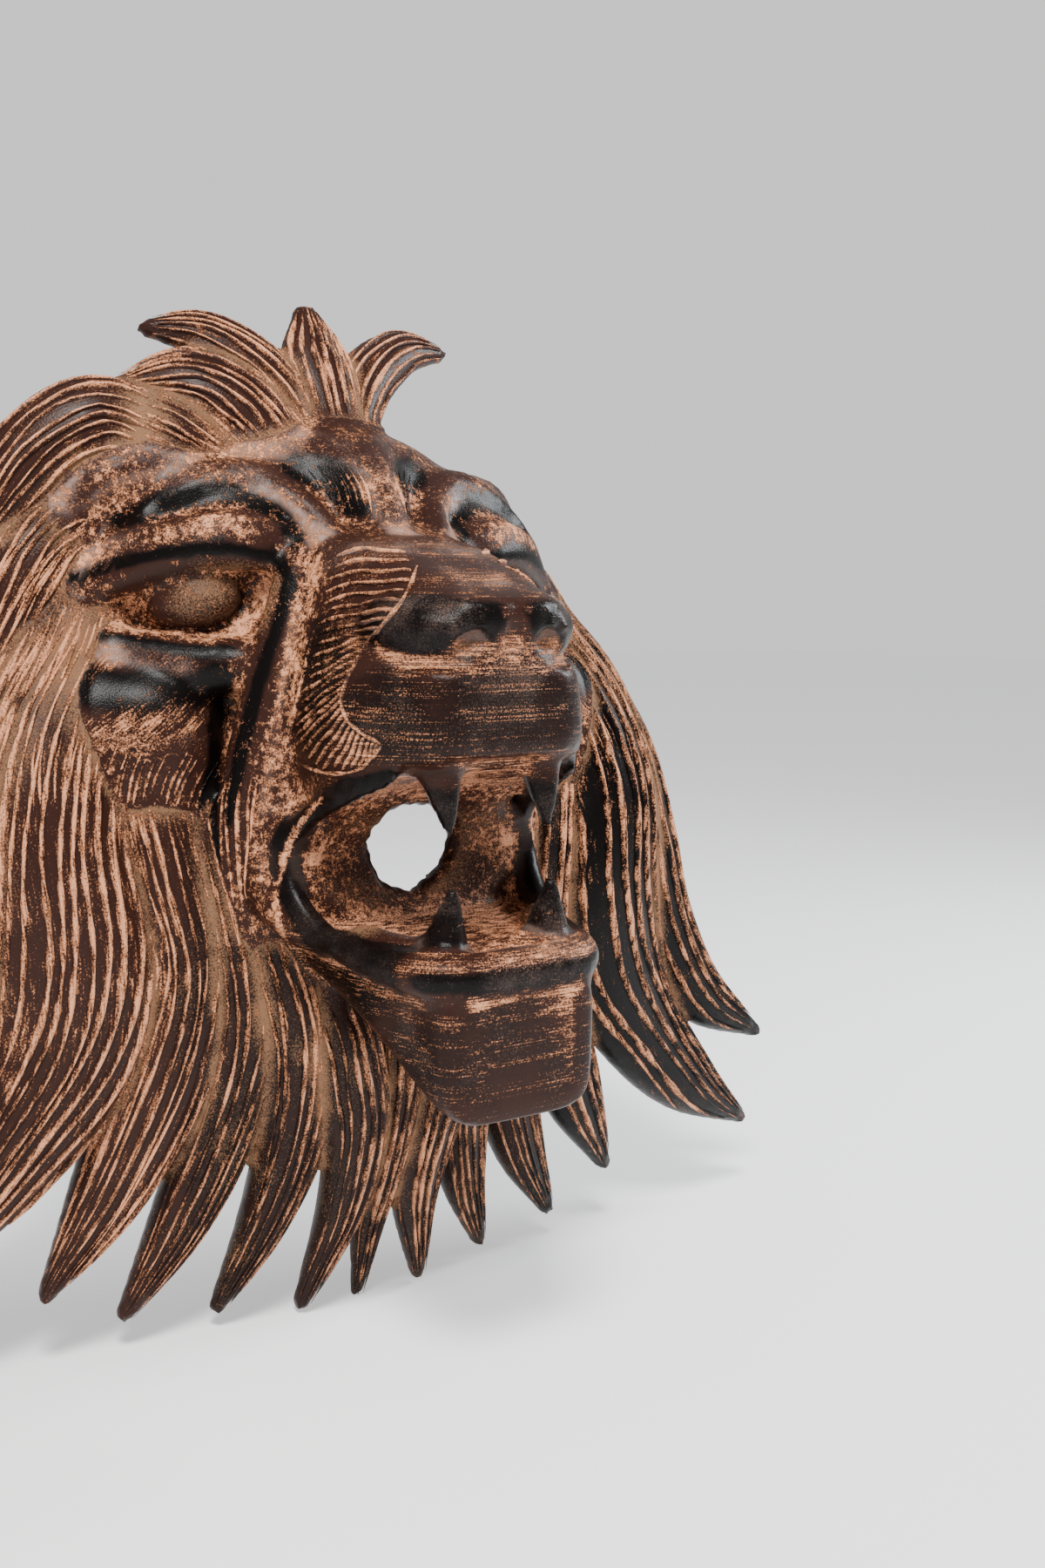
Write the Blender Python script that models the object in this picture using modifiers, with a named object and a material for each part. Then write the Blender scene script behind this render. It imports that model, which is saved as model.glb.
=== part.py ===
"""Lion head wall plaque: one hollow-backed metal casting, roaring, with a full mane.

The lion faces -Y, its left side is +X, and the wall is the plane y = 0. The origin is on the flat
hanging pad at the top of the back. The head is a free form, so its places and sizes are given in
squares of a carver's grid that grows with the height, as (across, forward, up). Up is counted from
the level of the nose tip, forward from the wall. The metal's thickness, the pad and the throat hole
are real sizes of their own.
"""
import math

import bmesh
import bpy
import numpy as np
from mathutils import Euler, Matrix, Vector

# Driving sizes in metres.
HEIGHT = 0.425
WALL = 0.0085
PAD_WIDTH = 0.050
PAD_HEIGHT = 0.024
THROAT_WIDTH = 0.038
THROAT_HEIGHT = 0.035
CUTTER_DEPTH = 0.5

# The carver's grid.
GRID_TOP = 134
GRID_BOTTOM = -336
SQUARE = HEIGHT / (GRID_TOP - GRID_BOTTOM)
HANG_LEVEL = 94
THROAT_LEVEL = -111
WALL_SQUARES = WALL / SQUARE

# Fineness of the stages, and the share of the faces that the front and the hollow may have.
ROUGH_GRAIN = 3.0 * SQUARE
FINE_GRAIN = 2.3 * SQUARE
FRONT_FACES = 8500
HOLLOW_FACES = 1600
CURVE_STEPS = 5

MASK_COLOUR = (0.075, 0.038, 0.026, 1.0)
MASK_ROUGHNESS = 0.42
MASK_METALLIC = 0.35


def world(across, forward, up):
    """A place on the carver's grid, in metres."""
    return Vector((across * SQUARE, -forward * SQUARE, (up - HANG_LEVEL) * SQUARE))


def clear_scene():
    for thing in list(bpy.data.objects):
        bpy.data.objects.remove(thing, do_unlink=True)


def new_collection(name):
    group = bpy.data.collections.new(name)
    bpy.context.scene.collection.children.link(group)
    return group


def object_from_bmesh(bm, name, group):
    """Closes a bmesh into an object whose faces point outward."""
    bmesh.ops.recalc_face_normals(bm, faces=bm.faces[:])
    mesh = bpy.data.meshes.new(name)
    bm.to_mesh(mesh)
    bm.free()
    thing = bpy.data.objects.new(name, mesh)
    group.objects.link(thing)
    return thing


def smooth_run(points, steps=CURVE_STEPS):
    """A smooth run through the points, with any number of values at each."""
    marks = [np.array(point, dtype=float) for point in points]
    marks = [2 * marks[0] - marks[1]] + marks + [2 * marks[-1] - marks[-2]]
    run = []
    for before, start, end, after in zip(marks, marks[1:], marks[2:], marks[3:]):
        for step in range(steps):
            t = step / steps
            run.append(0.5 * (2 * start + (end - before) * t
                              + (2 * before - 5 * start + 4 * end - after) * t ** 2
                              + (3 * start - before - 3 * end + after) * t ** 3))
    run.append(marks[-2])
    return run


def both_sides(points):
    """The sides on which a form stands: one if it is in the middle, else left and right."""
    return (1,) if max(abs(point[0]) for point in points) < 0.01 else (1, -1)


def ball(bm, centre, size, turn=(0, 0, 0), power=2.0, grow=0.0):
    """A ball squeezed to three half sizes, square-shouldered where the power is above 2."""
    for side in both_sides([centre]):
        spin = Euler([math.radians(a) for a in (turn[0], side * turn[1], side * turn[2])])
        half = [(s + grow) * SQUARE for s in size]
        made = bmesh.ops.create_uvsphere(bm, u_segments=32, v_segments=20, radius=1.0)
        place = Matrix.LocRotScale(world(side * centre[0], centre[1], centre[2]), spin, half)
        for vert in made["verts"]:
            spread = sum(abs(part) ** power for part in vert.co) ** (1 / power)
            vert.co = place @ (vert.co / spread)


def skin_rings(bm, rings):
    """Lays faces between rings of points and closes both ends."""
    loops = [[bm.verts.new(point) for point in ring] for ring in rings]
    count = len(loops[0])
    for lower, upper in zip(loops, loops[1:]):
        for i in range(count):
            j = (i + 1) % count
            bm.faces.new((lower[i], lower[j], upper[j], upper[i]))
    bm.faces.new(loops[0])
    bm.faces.new(loops[-1])


def rod(bm, points, group, grow=0.0, sides=None):
    """A round rod with rounded ends through (across, forward, up, radius)."""
    for side in sides or both_sides(points):
        run = smooth_run(points)
        curve = bpy.data.curves.new("rod", "CURVE")
        curve.dimensions = "3D"
        curve.bevel_depth = SQUARE
        curve.bevel_resolution = 4
        curve.use_fill_caps = True
        line = curve.splines.new("POLY")
        places = [world(side * p[0], p[1], p[2]) for p in run]
        radii = [p[3] + grow for p in run]
        first = (places[0] - places[1]).normalized()
        last = (places[-1] - places[-2]).normalized()
        for reach, share in ((0.6, 0.8), (0.95, 0.3)):
            places = [run_end(places, 0, first, radii, reach)] + places
            places = places + [run_end(places, -1, last, radii, reach)]
            radii = [radii[0] * share] + radii + [radii[-1] * share]
        line.points.add(len(places) - 1)
        for point, place, radius in zip(line.points, places, radii):
            point.co = (*place, 1.0)
            point.radius = radius
        thing = bpy.data.objects.new("rod", curve)
        group.objects.link(thing)
        add_evaluated(bm, thing)
        bpy.data.objects.remove(thing, do_unlink=True)


def run_end(places, which, heading, radii, reach):
    """A point a little past the end of a rod."""
    return places[which] + heading * (radii[which] * reach * 0.5 * SQUARE)


def add_evaluated(bm, thing):
    """Adds what an object makes, with its caps welded, to a bmesh."""
    bpy.context.view_layer.update()
    graph = bpy.context.evaluated_depsgraph_get()
    mesh = bpy.data.meshes.new_from_object(thing.evaluated_get(graph))
    piece = bmesh.new()
    piece.from_mesh(mesh)
    bmesh.ops.remove_doubles(piece, verts=piece.verts[:], dist=1e-5)
    bmesh.ops.recalc_face_normals(piece, faces=piece.faces[:])
    piece.to_mesh(mesh)
    piece.free()
    bm.from_mesh(mesh)
    bpy.data.meshes.remove(mesh)


def block(bm, sections, grow=0.0, slide=0.0):
    """A squared body through (forward, half width above, half width below, top, bottom, power)."""
    rings = []
    for forward, above, below, top, bottom, power in smooth_run(sections):
        ring = []
        for i in range(40):
            angle = 2 * math.pi * i / 40
            c, s = math.cos(angle), math.sin(angle)
            spread = (abs(c) ** power + abs(s) ** power) ** (-1 / power)
            rise = s * spread
            half = below + (above - below) * (rise + 1) / 2 + grow
            middle = (top + bottom) / 2
            height = middle + rise * ((top - bottom) / 2 + grow)
            ring.append(world(c * spread * half, forward + slide, height))
        rings.append(ring)
    skin_rings(bm, rings)


def lock(bm, points, face, strands=3, sides=None):
    """A flat lock of hair through (across, forward, up, half width, half thickness)."""
    run = smooth_run(points)
    for side in sides or both_sides(points):
        places = [world(side * p[0], p[1], p[2]) for p in run]
        outward = Vector((side * face[0], -face[1], face[2])).normalized()
        rings = []
        for i, p in enumerate(run):
            ahead = places[min(i + 1, len(run) - 1)] - places[max(i - 1, 0)]
            ahead.normalize()
            normal = (outward - ahead * outward.dot(ahead)).normalized()
            flat = ahead.cross(normal)
            half_width = max(p[3], 1.0) * SQUARE
            half_thick = max(p[4], 1.0) * SQUARE
            ring = []
            for k in range(32):
                angle = 2 * math.pi * k / 32
                c, s = math.cos(angle), math.sin(angle)
                furrow = 1.0
                if s > 0:
                    furrow -= 0.16 * s * math.sin(strands * angle) ** 2
                ring.append(places[i] + flat * (half_width * c) + normal * (half_thick * s * furrow))
            rings.append(ring)
        skin_rings(bm, rings)


def settled(thing, name, group):
    """A plain object with the shape that another object's modifiers give; the other is removed."""
    bpy.context.view_layer.update()
    graph = bpy.context.evaluated_depsgraph_get()
    mesh = bpy.data.meshes.new_from_object(thing.evaluated_get(graph))
    mesh.name = name
    result = bpy.data.objects.new(name, mesh)
    group.objects.link(result)
    bpy.data.objects.remove(thing, do_unlink=True)
    return result


def fused(bm, name, group, grain, rounds):
    """One skin around everything in a bmesh, its joints softened."""
    thing = object_from_bmesh(bm, name + "_raw", group)
    skin = thing.modifiers.new("skin", "REMESH")
    skin.mode = "VOXEL"
    skin.voxel_size = grain
    if rounds:
        soften = thing.modifiers.new("soften", "SMOOTH")
        soften.factor = 0.5
        soften.iterations = rounds
    return settled(thing, name, group)


def cutter_from(bm, name, cutters):
    thing = object_from_bmesh(bm, name, cutters)
    thing.hide_render = True
    thing.display_type = "WIRE"
    return thing


def cut(thing, cutter, operation="DIFFERENCE"):
    step = thing.modifiers.new(cutter.name, "BOOLEAN")
    step.operation = operation
    step.object = cutter
    step.solver = "EXACT"


def thinned(thing, name, group, faces):
    """The same shape with about the given number of triangles."""
    ready = bmesh.new()
    ready.from_mesh(thing.data)
    bmesh.ops.triangulate(ready, faces=ready.faces[:])
    count = len(ready.faces)
    ready.to_mesh(thing.data)
    ready.free()
    fewer = thing.modifiers.new("fewer", "DECIMATE")
    fewer.decimate_type = "COLLAPSE"
    fewer.ratio = faces / count
    return settled(thing, name, group)


# The forms of the head, each drawn by a function so that the front and the hollow share them.

def add_skull(bm, grow=0.0):
    ball(bm, (0, 16, 8), (112, 56, 66), grow=grow)
    ball(bm, (0, 26, -40), (94, 58, 90), grow=grow)
    ball(bm, (0, 30, 44), (62, 40, 33), grow=grow)
    ball(bm, (0, 66, -112), (74, 54, 60), power=2.6, grow=grow)
    ball(bm, (0, 60, -140), (64, 42, 48), power=2.4, grow=grow)
    ball(bm, (96, 22, -82), (46, 46, 50), turn=(0, 0, 24), power=2.3, grow=grow)


def add_muzzle(bm, grow=0.0):
    block(bm, [(56, 46, 74, 36, -78, 3), (95, 42, 67, 25, -76, 3.4), (125, 36, 63, 19, -73, 3.4),
               (150, 32, 57, 9, -70, 3.4), (162, 28, 50, -1, -68, 3.4)], grow, slide=grow)


def add_jaw(bm):
    block(bm, [(84, 56, 46, -134, -166, 3), (110, 57, 49, -139, -170, 3.2),
               (140, 54, 47, -145, -182, 3.6), (160, 47, 42, -149, -198, 4),
               (174, 42, 38, -152, -209, 4.5), (195, 38, 36, -154, -216, 5)])


def add_mane_mass(bm, grow=0.0):
    block(bm, [(-14, 92, 216, 62, -248, 2.8), (10, 91, 212, 62, -244, 2.8), (26, 87, 198, 60, -230, 2.8),
               (38, 78, 166, 56, -200, 2.6), (46, 60, 112, 46, -150, 2.4)], grow, slide=grow)
    ball(bm, (0, 4, -176), (96, 74, 108), grow=grow)


def add_crown(bm):
    """The solid post above the hollow, which carries the hanging pad and the top lock."""
    block(bm, [(-14, 28, 36, 110, 20, 3), (10, 27, 36, 108, 20, 3), (24, 22, 34, 98, 20, 3)])


def add_mouth(bm, grow=0.0):
    ball(bm, (0, 174, -108), (130, 68, 40), turn=(-12, 0, 0), power=2.3, grow=grow)


def add_eye_socket(bm, grow=0.0):
    ball(bm, (80, 77, -4), (43, 24, 14), turn=(0, 10, 36), power=2.2, grow=grow)


def add_cheek_fold(bm, group, grow=0.0):
    rod(bm, [(70, 90, -36, 4), (77, 84, -60, 7), (80, 78, -90, 7), (80, 74, -120, 4)], group, grow)


def add_brows(bm, group):
    """The forehead, the temples, the crest of each brow and the fold under it."""
    rod(bm, [(0, 30, 54, 20), (0, 52, 52, 20), (0, 70, 42, 17), (0, 82, 28, 13)], group)
    ball(bm, (78, 46, 20), (44, 24, 22), turn=(0, 18, 32))
    rod(bm, [(52, 44, 40, 10), (76, 38, 46, 14), (98, 32, 46, 16), (118, 22, 34, 15), (132, 10, 12, 13),
             (140, 4, -12, 10)], group, sides=(-1,))
    rod(bm, [(52, 44, 40, 10), (72, 38, 44, 13), (90, 29, 40, 14), (101, 19, 22, 13),
             (106, 10, 0, 10)], group, sides=(1,))
    rod(bm, [(28, 84, 25, 7), (34, 70, 38, 8), (45, 59, 47, 9), (60, 53, 49, 9), (76, 50, 44, 9),
             (94, 45, 33, 9)], group)
    rod(bm, [(42, 75, 21, 7), (58, 71, 26, 9), (80, 62, 26, 10), (104, 43, 13, 10), (128, 22, -4, 9)], group)


def add_eye(bm, group):
    rod(bm, [(45, 77, 13, 6), (62, 75, 17, 7), (82, 66, 17, 8), (106, 48, 7, 7), (130, 26, -8, 6)], group)
    rod(bm, [(50, 79, -29, 9), (66, 73, -31, 12), (84, 61, -31, 13), (106, 45, -27, 12),
             (140, 18, -18, 10)], group)
    ball(bm, (79, 56, -4), (21, 15, 12), turn=(0, 8, 38))


def add_cheek(bm):
    ball(bm, (103, 27, -67), (49, 45, 42), turn=(0, 0, 30), power=2.8)


def add_face_dips(bm, group):
    """The dips between the folds of the forehead, and the deep fold in front of the cheek."""
    rod(bm, [(8, 98, 50, 6), (22, 84, 52, 10), (36, 70, 58, 8), (46, 60, 64, 4)], group)
    rod(bm, [(40, 84, 32, 4), (54, 78, 39, 7), (74, 69, 41, 7), (94, 57, 34, 5)], group)
    rod(bm, [(62, 62, 62, 4), (80, 60, 60, 8), (100, 52, 48, 8), (116, 40, 32, 5)], group)
    rod(bm, [(68, 88, -42, 4), (73, 82, -62, 7), (77, 77, -90, 8), (79, 72, -120, 6)], group)


def add_ribbon(bm):
    """The long flat fold from the inner corner of the eye down behind the mouth."""
    lock(bm, [(36, 78, 24, 8, 6), (44, 86, 6, 10, 8), (54, 88, -26, 12, 9), (62, 88, -60, 14, 10),
              (68, 86, -96, 14, 10), (66, 86, -142, 11, 7)], face=(0.8, 1, 0))


def add_upper_lip(bm):
    block(bm, [(92, 42, 60, -12, -104, 3), (118, 50, 61, -16, -100, 3), (142, 53, 59, -18, -94, 3),
               (163, 46, 52, -18, -84, 3.2), (178, 37, 43, -18, -76, 3.4), (187, 29, 35, -22, -70, 3.6)])


def add_nose(bm, group):
    block(bm, [(84, 38, 50, 27, -10, 4), (95, 38, 48, 26, -14, 4), (125, 35, 44, 20, -18, 4),
               (150, 32, 38, 11.5, -24, 4), (168, 29, 31, 4.5, -25, 4), (179, 28, 27, 0.5, -26, 4),
               (189, 26, 25, -4, -14, 4)])
    rod(bm, [(8, 182, -12, 8), (20, 178, -13, 10), (28, 168, -14, 12.5), (32, 157, -14, 13),
             (35, 147, -13, 10)], group)


def add_lips(bm, group):
    """The roll of the lips round the mouth with its root in the cheek, and the gums."""
    rod(bm, [(54, 128, -146, 6), (61, 110, -138, 9), (65, 96, -126, 9), (65, 94, -110, 8),
             (62, 100, -98, 6)], group)
    rod(bm, [(0, 187, -153, 10), (20, 187, -153, 10), (35, 182, -152.5, 10), (45, 164, -150, 8),
             (53, 140, -146, 6), (58, 120, -137, 5.5), (61, 108, -122, 5.5), (61, 105, -109, 5.5),
             (58, 110, -99, 5.5), (55, 120, -91, 5), (53, 134, -84.5, 5), (50, 148, -79, 4.5),
             (45, 164, -74, 3.5)], group)
    rod(bm, [(0, 168, -152, 8), (20, 170, -150, 9), (34, 162, -147, 8), (44, 140, -143, 7)], group)
    rod(bm, [(0, 166, -66, 7), (22, 168, -66, 8), (36, 158, -67, 7), (48, 136, -70, 5)], group)


def add_teeth(bm, group):
    rod(bm, [(25, 168, -66, 10), (24.5, 172, -80, 7), (24, 176, -97, 2.2)], group)
    rod(bm, [(26, 172, -150, 12), (25, 175, -136, 8), (24.3, 178.5, -118, 2.4)], group)


def add_mane_locks(bm):
    """The locks, from the outermost down each side to the beard, then those on top."""
    lock(bm, [(96, 4, 44, 12, 8), (104, 9, 24, 16, 12), (115, 22, -4, 18, 15), (136, 34, -42, 24, 19),
              (163, 40, -86, 27, 20), (177, 44, -130, 27, 19), (190, 46, -176, 24, 17),
              (216, 48, -218, 17, 14), (260, 50, -246, 4, 5)], face=(0.5, 1, 0))
    lock(bm, [(104, 12, 30, 13, 12), (120, 28, -14, 20, 16), (142, 42, -56, 28, 19), (150, 54, -102, 34, 20),
              (146, 58, -150, 40, 20), (150, 58, -190, 38, 19), (170, 56, -228, 28, 17),
              (205, 52, -264, 19, 14), (249, 50, -294, 4, 5)], face=(0.35, 1, 0), strands=4)
    lock(bm, [(108, 42, -50, 16, 12), (104, 54, -84, 20, 16), (98, 62, -122, 22, 17), (92, 66, -160, 22, 17),
              (102, 64, -205, 24, 16), (124, 58, -255, 18, 13), (152, 50, -302, 4, 5)], face=(0.3, 1, 0))
    lock(bm, [(80, 58, -86, 12, 12), (76, 66, -112, 16, 15), (70, 72, -146, 18, 16), (66, 74, -186, 19, 16),
              (74, 66, -230, 18, 15), (92, 56, -278, 14, 12), (116, 48, -320, 4, 5)], face=(0.2, 1, 0))
    lock(bm, [(60, 78, -130, 12, 12), (54, 84, -156, 16, 14), (46, 86, -192, 18, 15), (44, 76, -236, 17, 14),
              (54, 62, -284, 12, 11), (72, 50, -326, 4, 5)], face=(0.1, 1, 0))
    lock(bm, [(34, 94, -176, 12, 12), (28, 96, -204, 15, 14), (20, 88, -240, 15, 13), (20, 72, -284, 11, 11),
              (32, 56, -332, 4, 5)], face=(0, 1, 0))
    lock(bm, [(0, 92, -180, 10, 12), (0, 92, -212, 12, 13), (0, 82, -250, 11, 12), (0, 64, -294, 8, 9),
              (0, 52, -336, 3, 4)], face=(0, 1, 0))
    lock(bm, [(0, 40, 54, 14, 12), (0, 30, 84, 18, 14), (0, 20, 108, 17, 12), (0, 12, 132, 5, 6)],
         face=(0, 1, 0.5))
    lock(bm, [(26, 40, 54, 18, 12), (40, 31, 78, 20, 14), (64, 22, 92, 18, 12), (94, 12, 90, 5, 5)],
         face=(0.2, 1, 0.5), sides=(-1,))
    lock(bm, [(56, 34, 52, 19, 12), (80, 27, 68, 20, 14), (104, 18, 70, 16, 12), (124, 10, 52, 5, 5)],
         face=(0.3, 1, 0.4), sides=(-1,))
    lock(bm, [(10, 38, 56, 12, 12), (14, 29, 78, 14, 13), (28, 20, 100, 15, 12), (52, 12, 116, 12, 9),
              (78, 8, 118, 4, 5)], face=(0.1, 1, 0.5))
    lock(bm, [(20, 34, 44, 14, 11), (42, 22, 46, 16, 12), (70, 13, 42, 15, 11), (94, 8, 26, 10, 8),
              (108, 5, 4, 4, 5)], face=(0.2, 1, 0.4), sides=(1,))
    lock(bm, [(58, 26, 30, 15, 11), (84, 16, 28, 16, 12), (104, 12, 8, 14, 10), (116, 9, -18, 5, 6)],
         face=(0.3, 1, 0.3), sides=(1,))
    lock(bm, [(76, 26, 62, 20, 12), (108, 22, 72, 22, 15), (140, 17, 50, 19, 13), (166, 14, 8, 6, 6)],
         face=(0.3, 1, 0.3), sides=(-1,))
    lock(bm, [(100, 18, 40, 20, 12), (130, 20, 22, 22, 15), (152, 20, -14, 19, 14), (170, 16, -62, 6, 6)],
         face=(0.5, 1, 0.1), sides=(-1,))


def build_front(group, cutters):
    """The outside of the casting, reaching a little behind the wall plane."""
    bm = bmesh.new()
    add_skull(bm)
    add_muzzle(bm)
    head = fused(bm, "head", group, ROUGH_GRAIN, 8)

    sockets = bmesh.new()
    add_eye_socket(sockets)
    add_cheek_fold(sockets, group)
    hollows = cutter_from(sockets, "eye_sockets", cutters)
    cut(head, hollows)
    head = settled(head, "head", group)

    bm = bmesh.new()
    add_evaluated(bm, head)
    bpy.data.objects.remove(head, do_unlink=True)
    add_brows(bm, group)
    add_cheek(bm)
    add_eye(bm, group)
    add_upper_lip(bm)
    add_jaw(bm)
    head = fused(bm, "head", group, FINE_GRAIN, 3)

    opening = bmesh.new()
    add_mouth(opening)
    cut(head, cutter_from(opening, "mouth_bowl", cutters))
    dips = bmesh.new()
    add_face_dips(dips, group)
    dips = fused(dips, "face_dips", cutters, FINE_GRAIN, 2)
    dips.hide_render = True
    dips.display_type = "WIRE"
    cut(head, dips)
    head = settled(head, "head", group)

    bm = bmesh.new()
    add_evaluated(bm, head)
    bpy.data.objects.remove(head, do_unlink=True)
    add_mane_mass(bm)
    add_crown(bm)
    add_mane_locks(bm)
    add_ribbon(bm)
    add_nose(bm, group)
    add_lips(bm, group)
    add_teeth(bm, group)
    front = fused(bm, "front", group, FINE_GRAIN, 1)
    return thinned(front, "lion_mask", group, FRONT_FACES)


def build_hollow(group, cutters):
    """The hollow behind the face, one wall's thickness inside it everywhere."""
    inward = -WALL_SQUARES
    bm = bmesh.new()
    add_skull(bm, inward)
    add_muzzle(bm, inward)
    add_mane_mass(bm, inward)
    hollow = fused(bm, "hollow", group, ROUGH_GRAIN, 4)

    kept = bmesh.new()
    add_mouth(kept, WALL_SQUARES)
    mouth_wall = cutter_from(kept, "mouth_wall", cutters)
    kept = bmesh.new()
    add_eye_socket(kept, WALL_SQUARES)
    add_cheek_fold(kept, group, WALL_SQUARES)
    socket_walls = cutter_from(kept, "socket_walls", cutters)
    cut(hollow, mouth_wall)
    cut(hollow, socket_walls)
    hollow = settled(hollow, "hollow", group)
    hollow = thinned(hollow, "hollow", cutters, HOLLOW_FACES)

    kept = bmesh.new()
    bmesh.ops.create_cube(kept, size=1.0, matrix=Matrix.LocRotScale(
        Vector((0, 0, 0.5 * HEIGHT - 0.5 * PAD_HEIGHT)), None, Vector((PAD_WIDTH, CUTTER_DEPTH, HEIGHT))))
    pad = cutter_from(kept, "hanging_pad", cutters)
    cut(hollow, pad)
    hollow = settled(hollow, "hollow", cutters)
    hollow.hide_render = True
    hollow.display_type = "WIRE"
    return hollow


def build_throat(cutters):
    """The torn-edged hole at the back of the mouth."""
    bm = bmesh.new()
    rings = []
    for forward in (70, 130):
        ring = []
        for i in range(24):
            angle = 2 * math.pi * i / 24
            tear = 1 + 0.05 * math.sin(3 * angle + 1) + 0.04 * math.sin(7 * angle)
            middle = world(0, forward, THROAT_LEVEL)
            ring.append(middle + Vector((0.5 * THROAT_WIDTH * tear * math.cos(angle), 0,
                                         0.5 * THROAT_HEIGHT * tear * math.sin(angle))))
        rings.append(ring)
    skin_rings(bm, rings)
    return cutter_from(bm, "throat_hole", cutters)


def build_wall_side(cutters):
    """Everything behind the wall plane."""
    bm = bmesh.new()
    bmesh.ops.create_cube(bm, size=1.0, matrix=Matrix.LocRotScale(
        Vector((0, 0.5 * CUTTER_DEPTH, 0)), None, Vector((4 * HEIGHT, CUTTER_DEPTH, 4 * HEIGHT))))
    return cutter_from(bm, "wall_side", cutters)


def paint(thing):
    material = bpy.data.materials.new("dark_painted_metal")
    material.use_nodes = True
    shader = material.node_tree.nodes["Principled BSDF"]
    shader.inputs["Base Color"].default_value = MASK_COLOUR
    shader.inputs["Roughness"].default_value = MASK_ROUGHNESS
    shader.inputs["Metallic"].default_value = MASK_METALLIC
    material.diffuse_color = MASK_COLOUR
    thing.data.materials.append(material)
    thing.data.shade_smooth()


def main():
    clear_scene()
    group = new_collection("lion_head_wall_plaque")
    cutters = new_collection("cutters")
    mask = build_front(group, cutters)
    hollow = build_hollow(group, cutters)
    throat = build_throat(cutters)
    wall_side = build_wall_side(cutters)
    cut(mask, hollow)
    cut(mask, throat)
    cut(mask, wall_side)
    paint(mask)


main()
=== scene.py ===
"""Looks of the lion head wall plaque: the one casting, carved finer than its solid, and its paint.

The casting is sculpted as a distance field on the same carver's grid as the solid: places are
(across, forward, up) in squares, forward from the wall and up from the level of the nose tip.
Its skin is meshed, given the strands of the mane and the ridges of the whisker pads, and painted
by what each spot is: a raised strand, a groove, a rubbed crest or a dusty hollow. Crests also carry
a painted highlight, and creases, hollows and the far side of the mane carry painted shade.
"""
import math

import bpy
import numpy as np
from mathutils import Matrix, Vector


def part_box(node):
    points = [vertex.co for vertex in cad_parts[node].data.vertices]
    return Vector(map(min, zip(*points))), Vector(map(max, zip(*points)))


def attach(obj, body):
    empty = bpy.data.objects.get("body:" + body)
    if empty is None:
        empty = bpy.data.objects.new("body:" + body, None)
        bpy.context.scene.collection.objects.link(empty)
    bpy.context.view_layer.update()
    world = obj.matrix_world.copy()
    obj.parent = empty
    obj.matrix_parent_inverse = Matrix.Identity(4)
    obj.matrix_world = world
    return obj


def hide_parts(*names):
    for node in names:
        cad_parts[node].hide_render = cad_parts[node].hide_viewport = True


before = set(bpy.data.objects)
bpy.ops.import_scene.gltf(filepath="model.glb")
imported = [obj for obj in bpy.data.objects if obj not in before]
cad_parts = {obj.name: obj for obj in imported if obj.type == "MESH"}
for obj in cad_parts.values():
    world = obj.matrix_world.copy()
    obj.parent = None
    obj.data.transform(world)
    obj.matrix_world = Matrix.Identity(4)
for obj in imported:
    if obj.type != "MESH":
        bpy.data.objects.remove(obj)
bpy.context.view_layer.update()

NODE = "lion_mask"
low_corner, high_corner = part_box(NODE)

# The carver's grid, laid over the solid's height.
GRID_TOP = 134
GRID_BOTTOM = -336
HANG_LEVEL = 94
SQUARE = (high_corner.z - low_corner.z) / (GRID_TOP - GRID_BOTTOM)
WALL = 0.0085 / SQUARE
PAD_HALF_WIDTH = 0.025 / SQUARE
PAD_BOTTOM = HANG_LEVEL - 0.024 / 2 / SQUARE
THROAT_LEVEL = -111
THROAT_HALF = (0.019 / SQUARE, 0.0175 / SQUARE)

# Fineness of the field, in squares, the triangles of the whole, and the strands' sizes in squares.
GRAIN = 2.7
TRIANGLES = 196000
STRAND_PITCH = 4.5
STRAND_STEP = 4.6
STRAND_HALF_WIDTH = 2.1
STRAND_HEIGHT = 1.8
FEWER_FAR_STRANDS = 0.6
WHISKERS = 28
STRANDS_BELOW = -78

FAR = 1000.0
LOW = np.array((-275.0, -6.0, -345.0))
HIGH = np.array((275.0, 206.0, 145.0))


def blend_low(a, b, soft):
    """The nearer of two distances, rounded where they meet."""
    if soft <= 0:
        return np.minimum(a, b)
    share = np.clip(0.5 + 0.5 * (b - a) / soft, 0, 1)
    return b * (1 - share) + a * share - soft * share * (1 - share)


def blend_high(a, b, soft):
    return -blend_low(-a, -b, soft)


def ease(value, start, end):
    """0 before start, 1 after end, smooth between them."""
    t = np.clip((value - start) / (end - start), 0, 1)
    return t * t * (3 - 2 * t)


def smooth_run(points, steps=5):
    """A smooth run through the points, with any number of values at each."""
    marks = np.array(points, dtype=float)
    marks = np.vstack([2 * marks[0] - marks[1], marks, 2 * marks[-1] - marks[-2]])
    t = (np.arange(steps) / steps)[:, None]
    run = []
    for before, start, end, after in zip(marks, marks[1:], marks[2:], marks[3:]):
        run.append(0.5 * (2 * start + (end - before) * t
                          + (2 * before - 5 * start + 4 * end - after) * t ** 2
                          + (3 * start - before - 3 * end + after) * t ** 3))
    run.append(marks[-2][None])
    return np.vstack(run).astype(np.float32)


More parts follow.
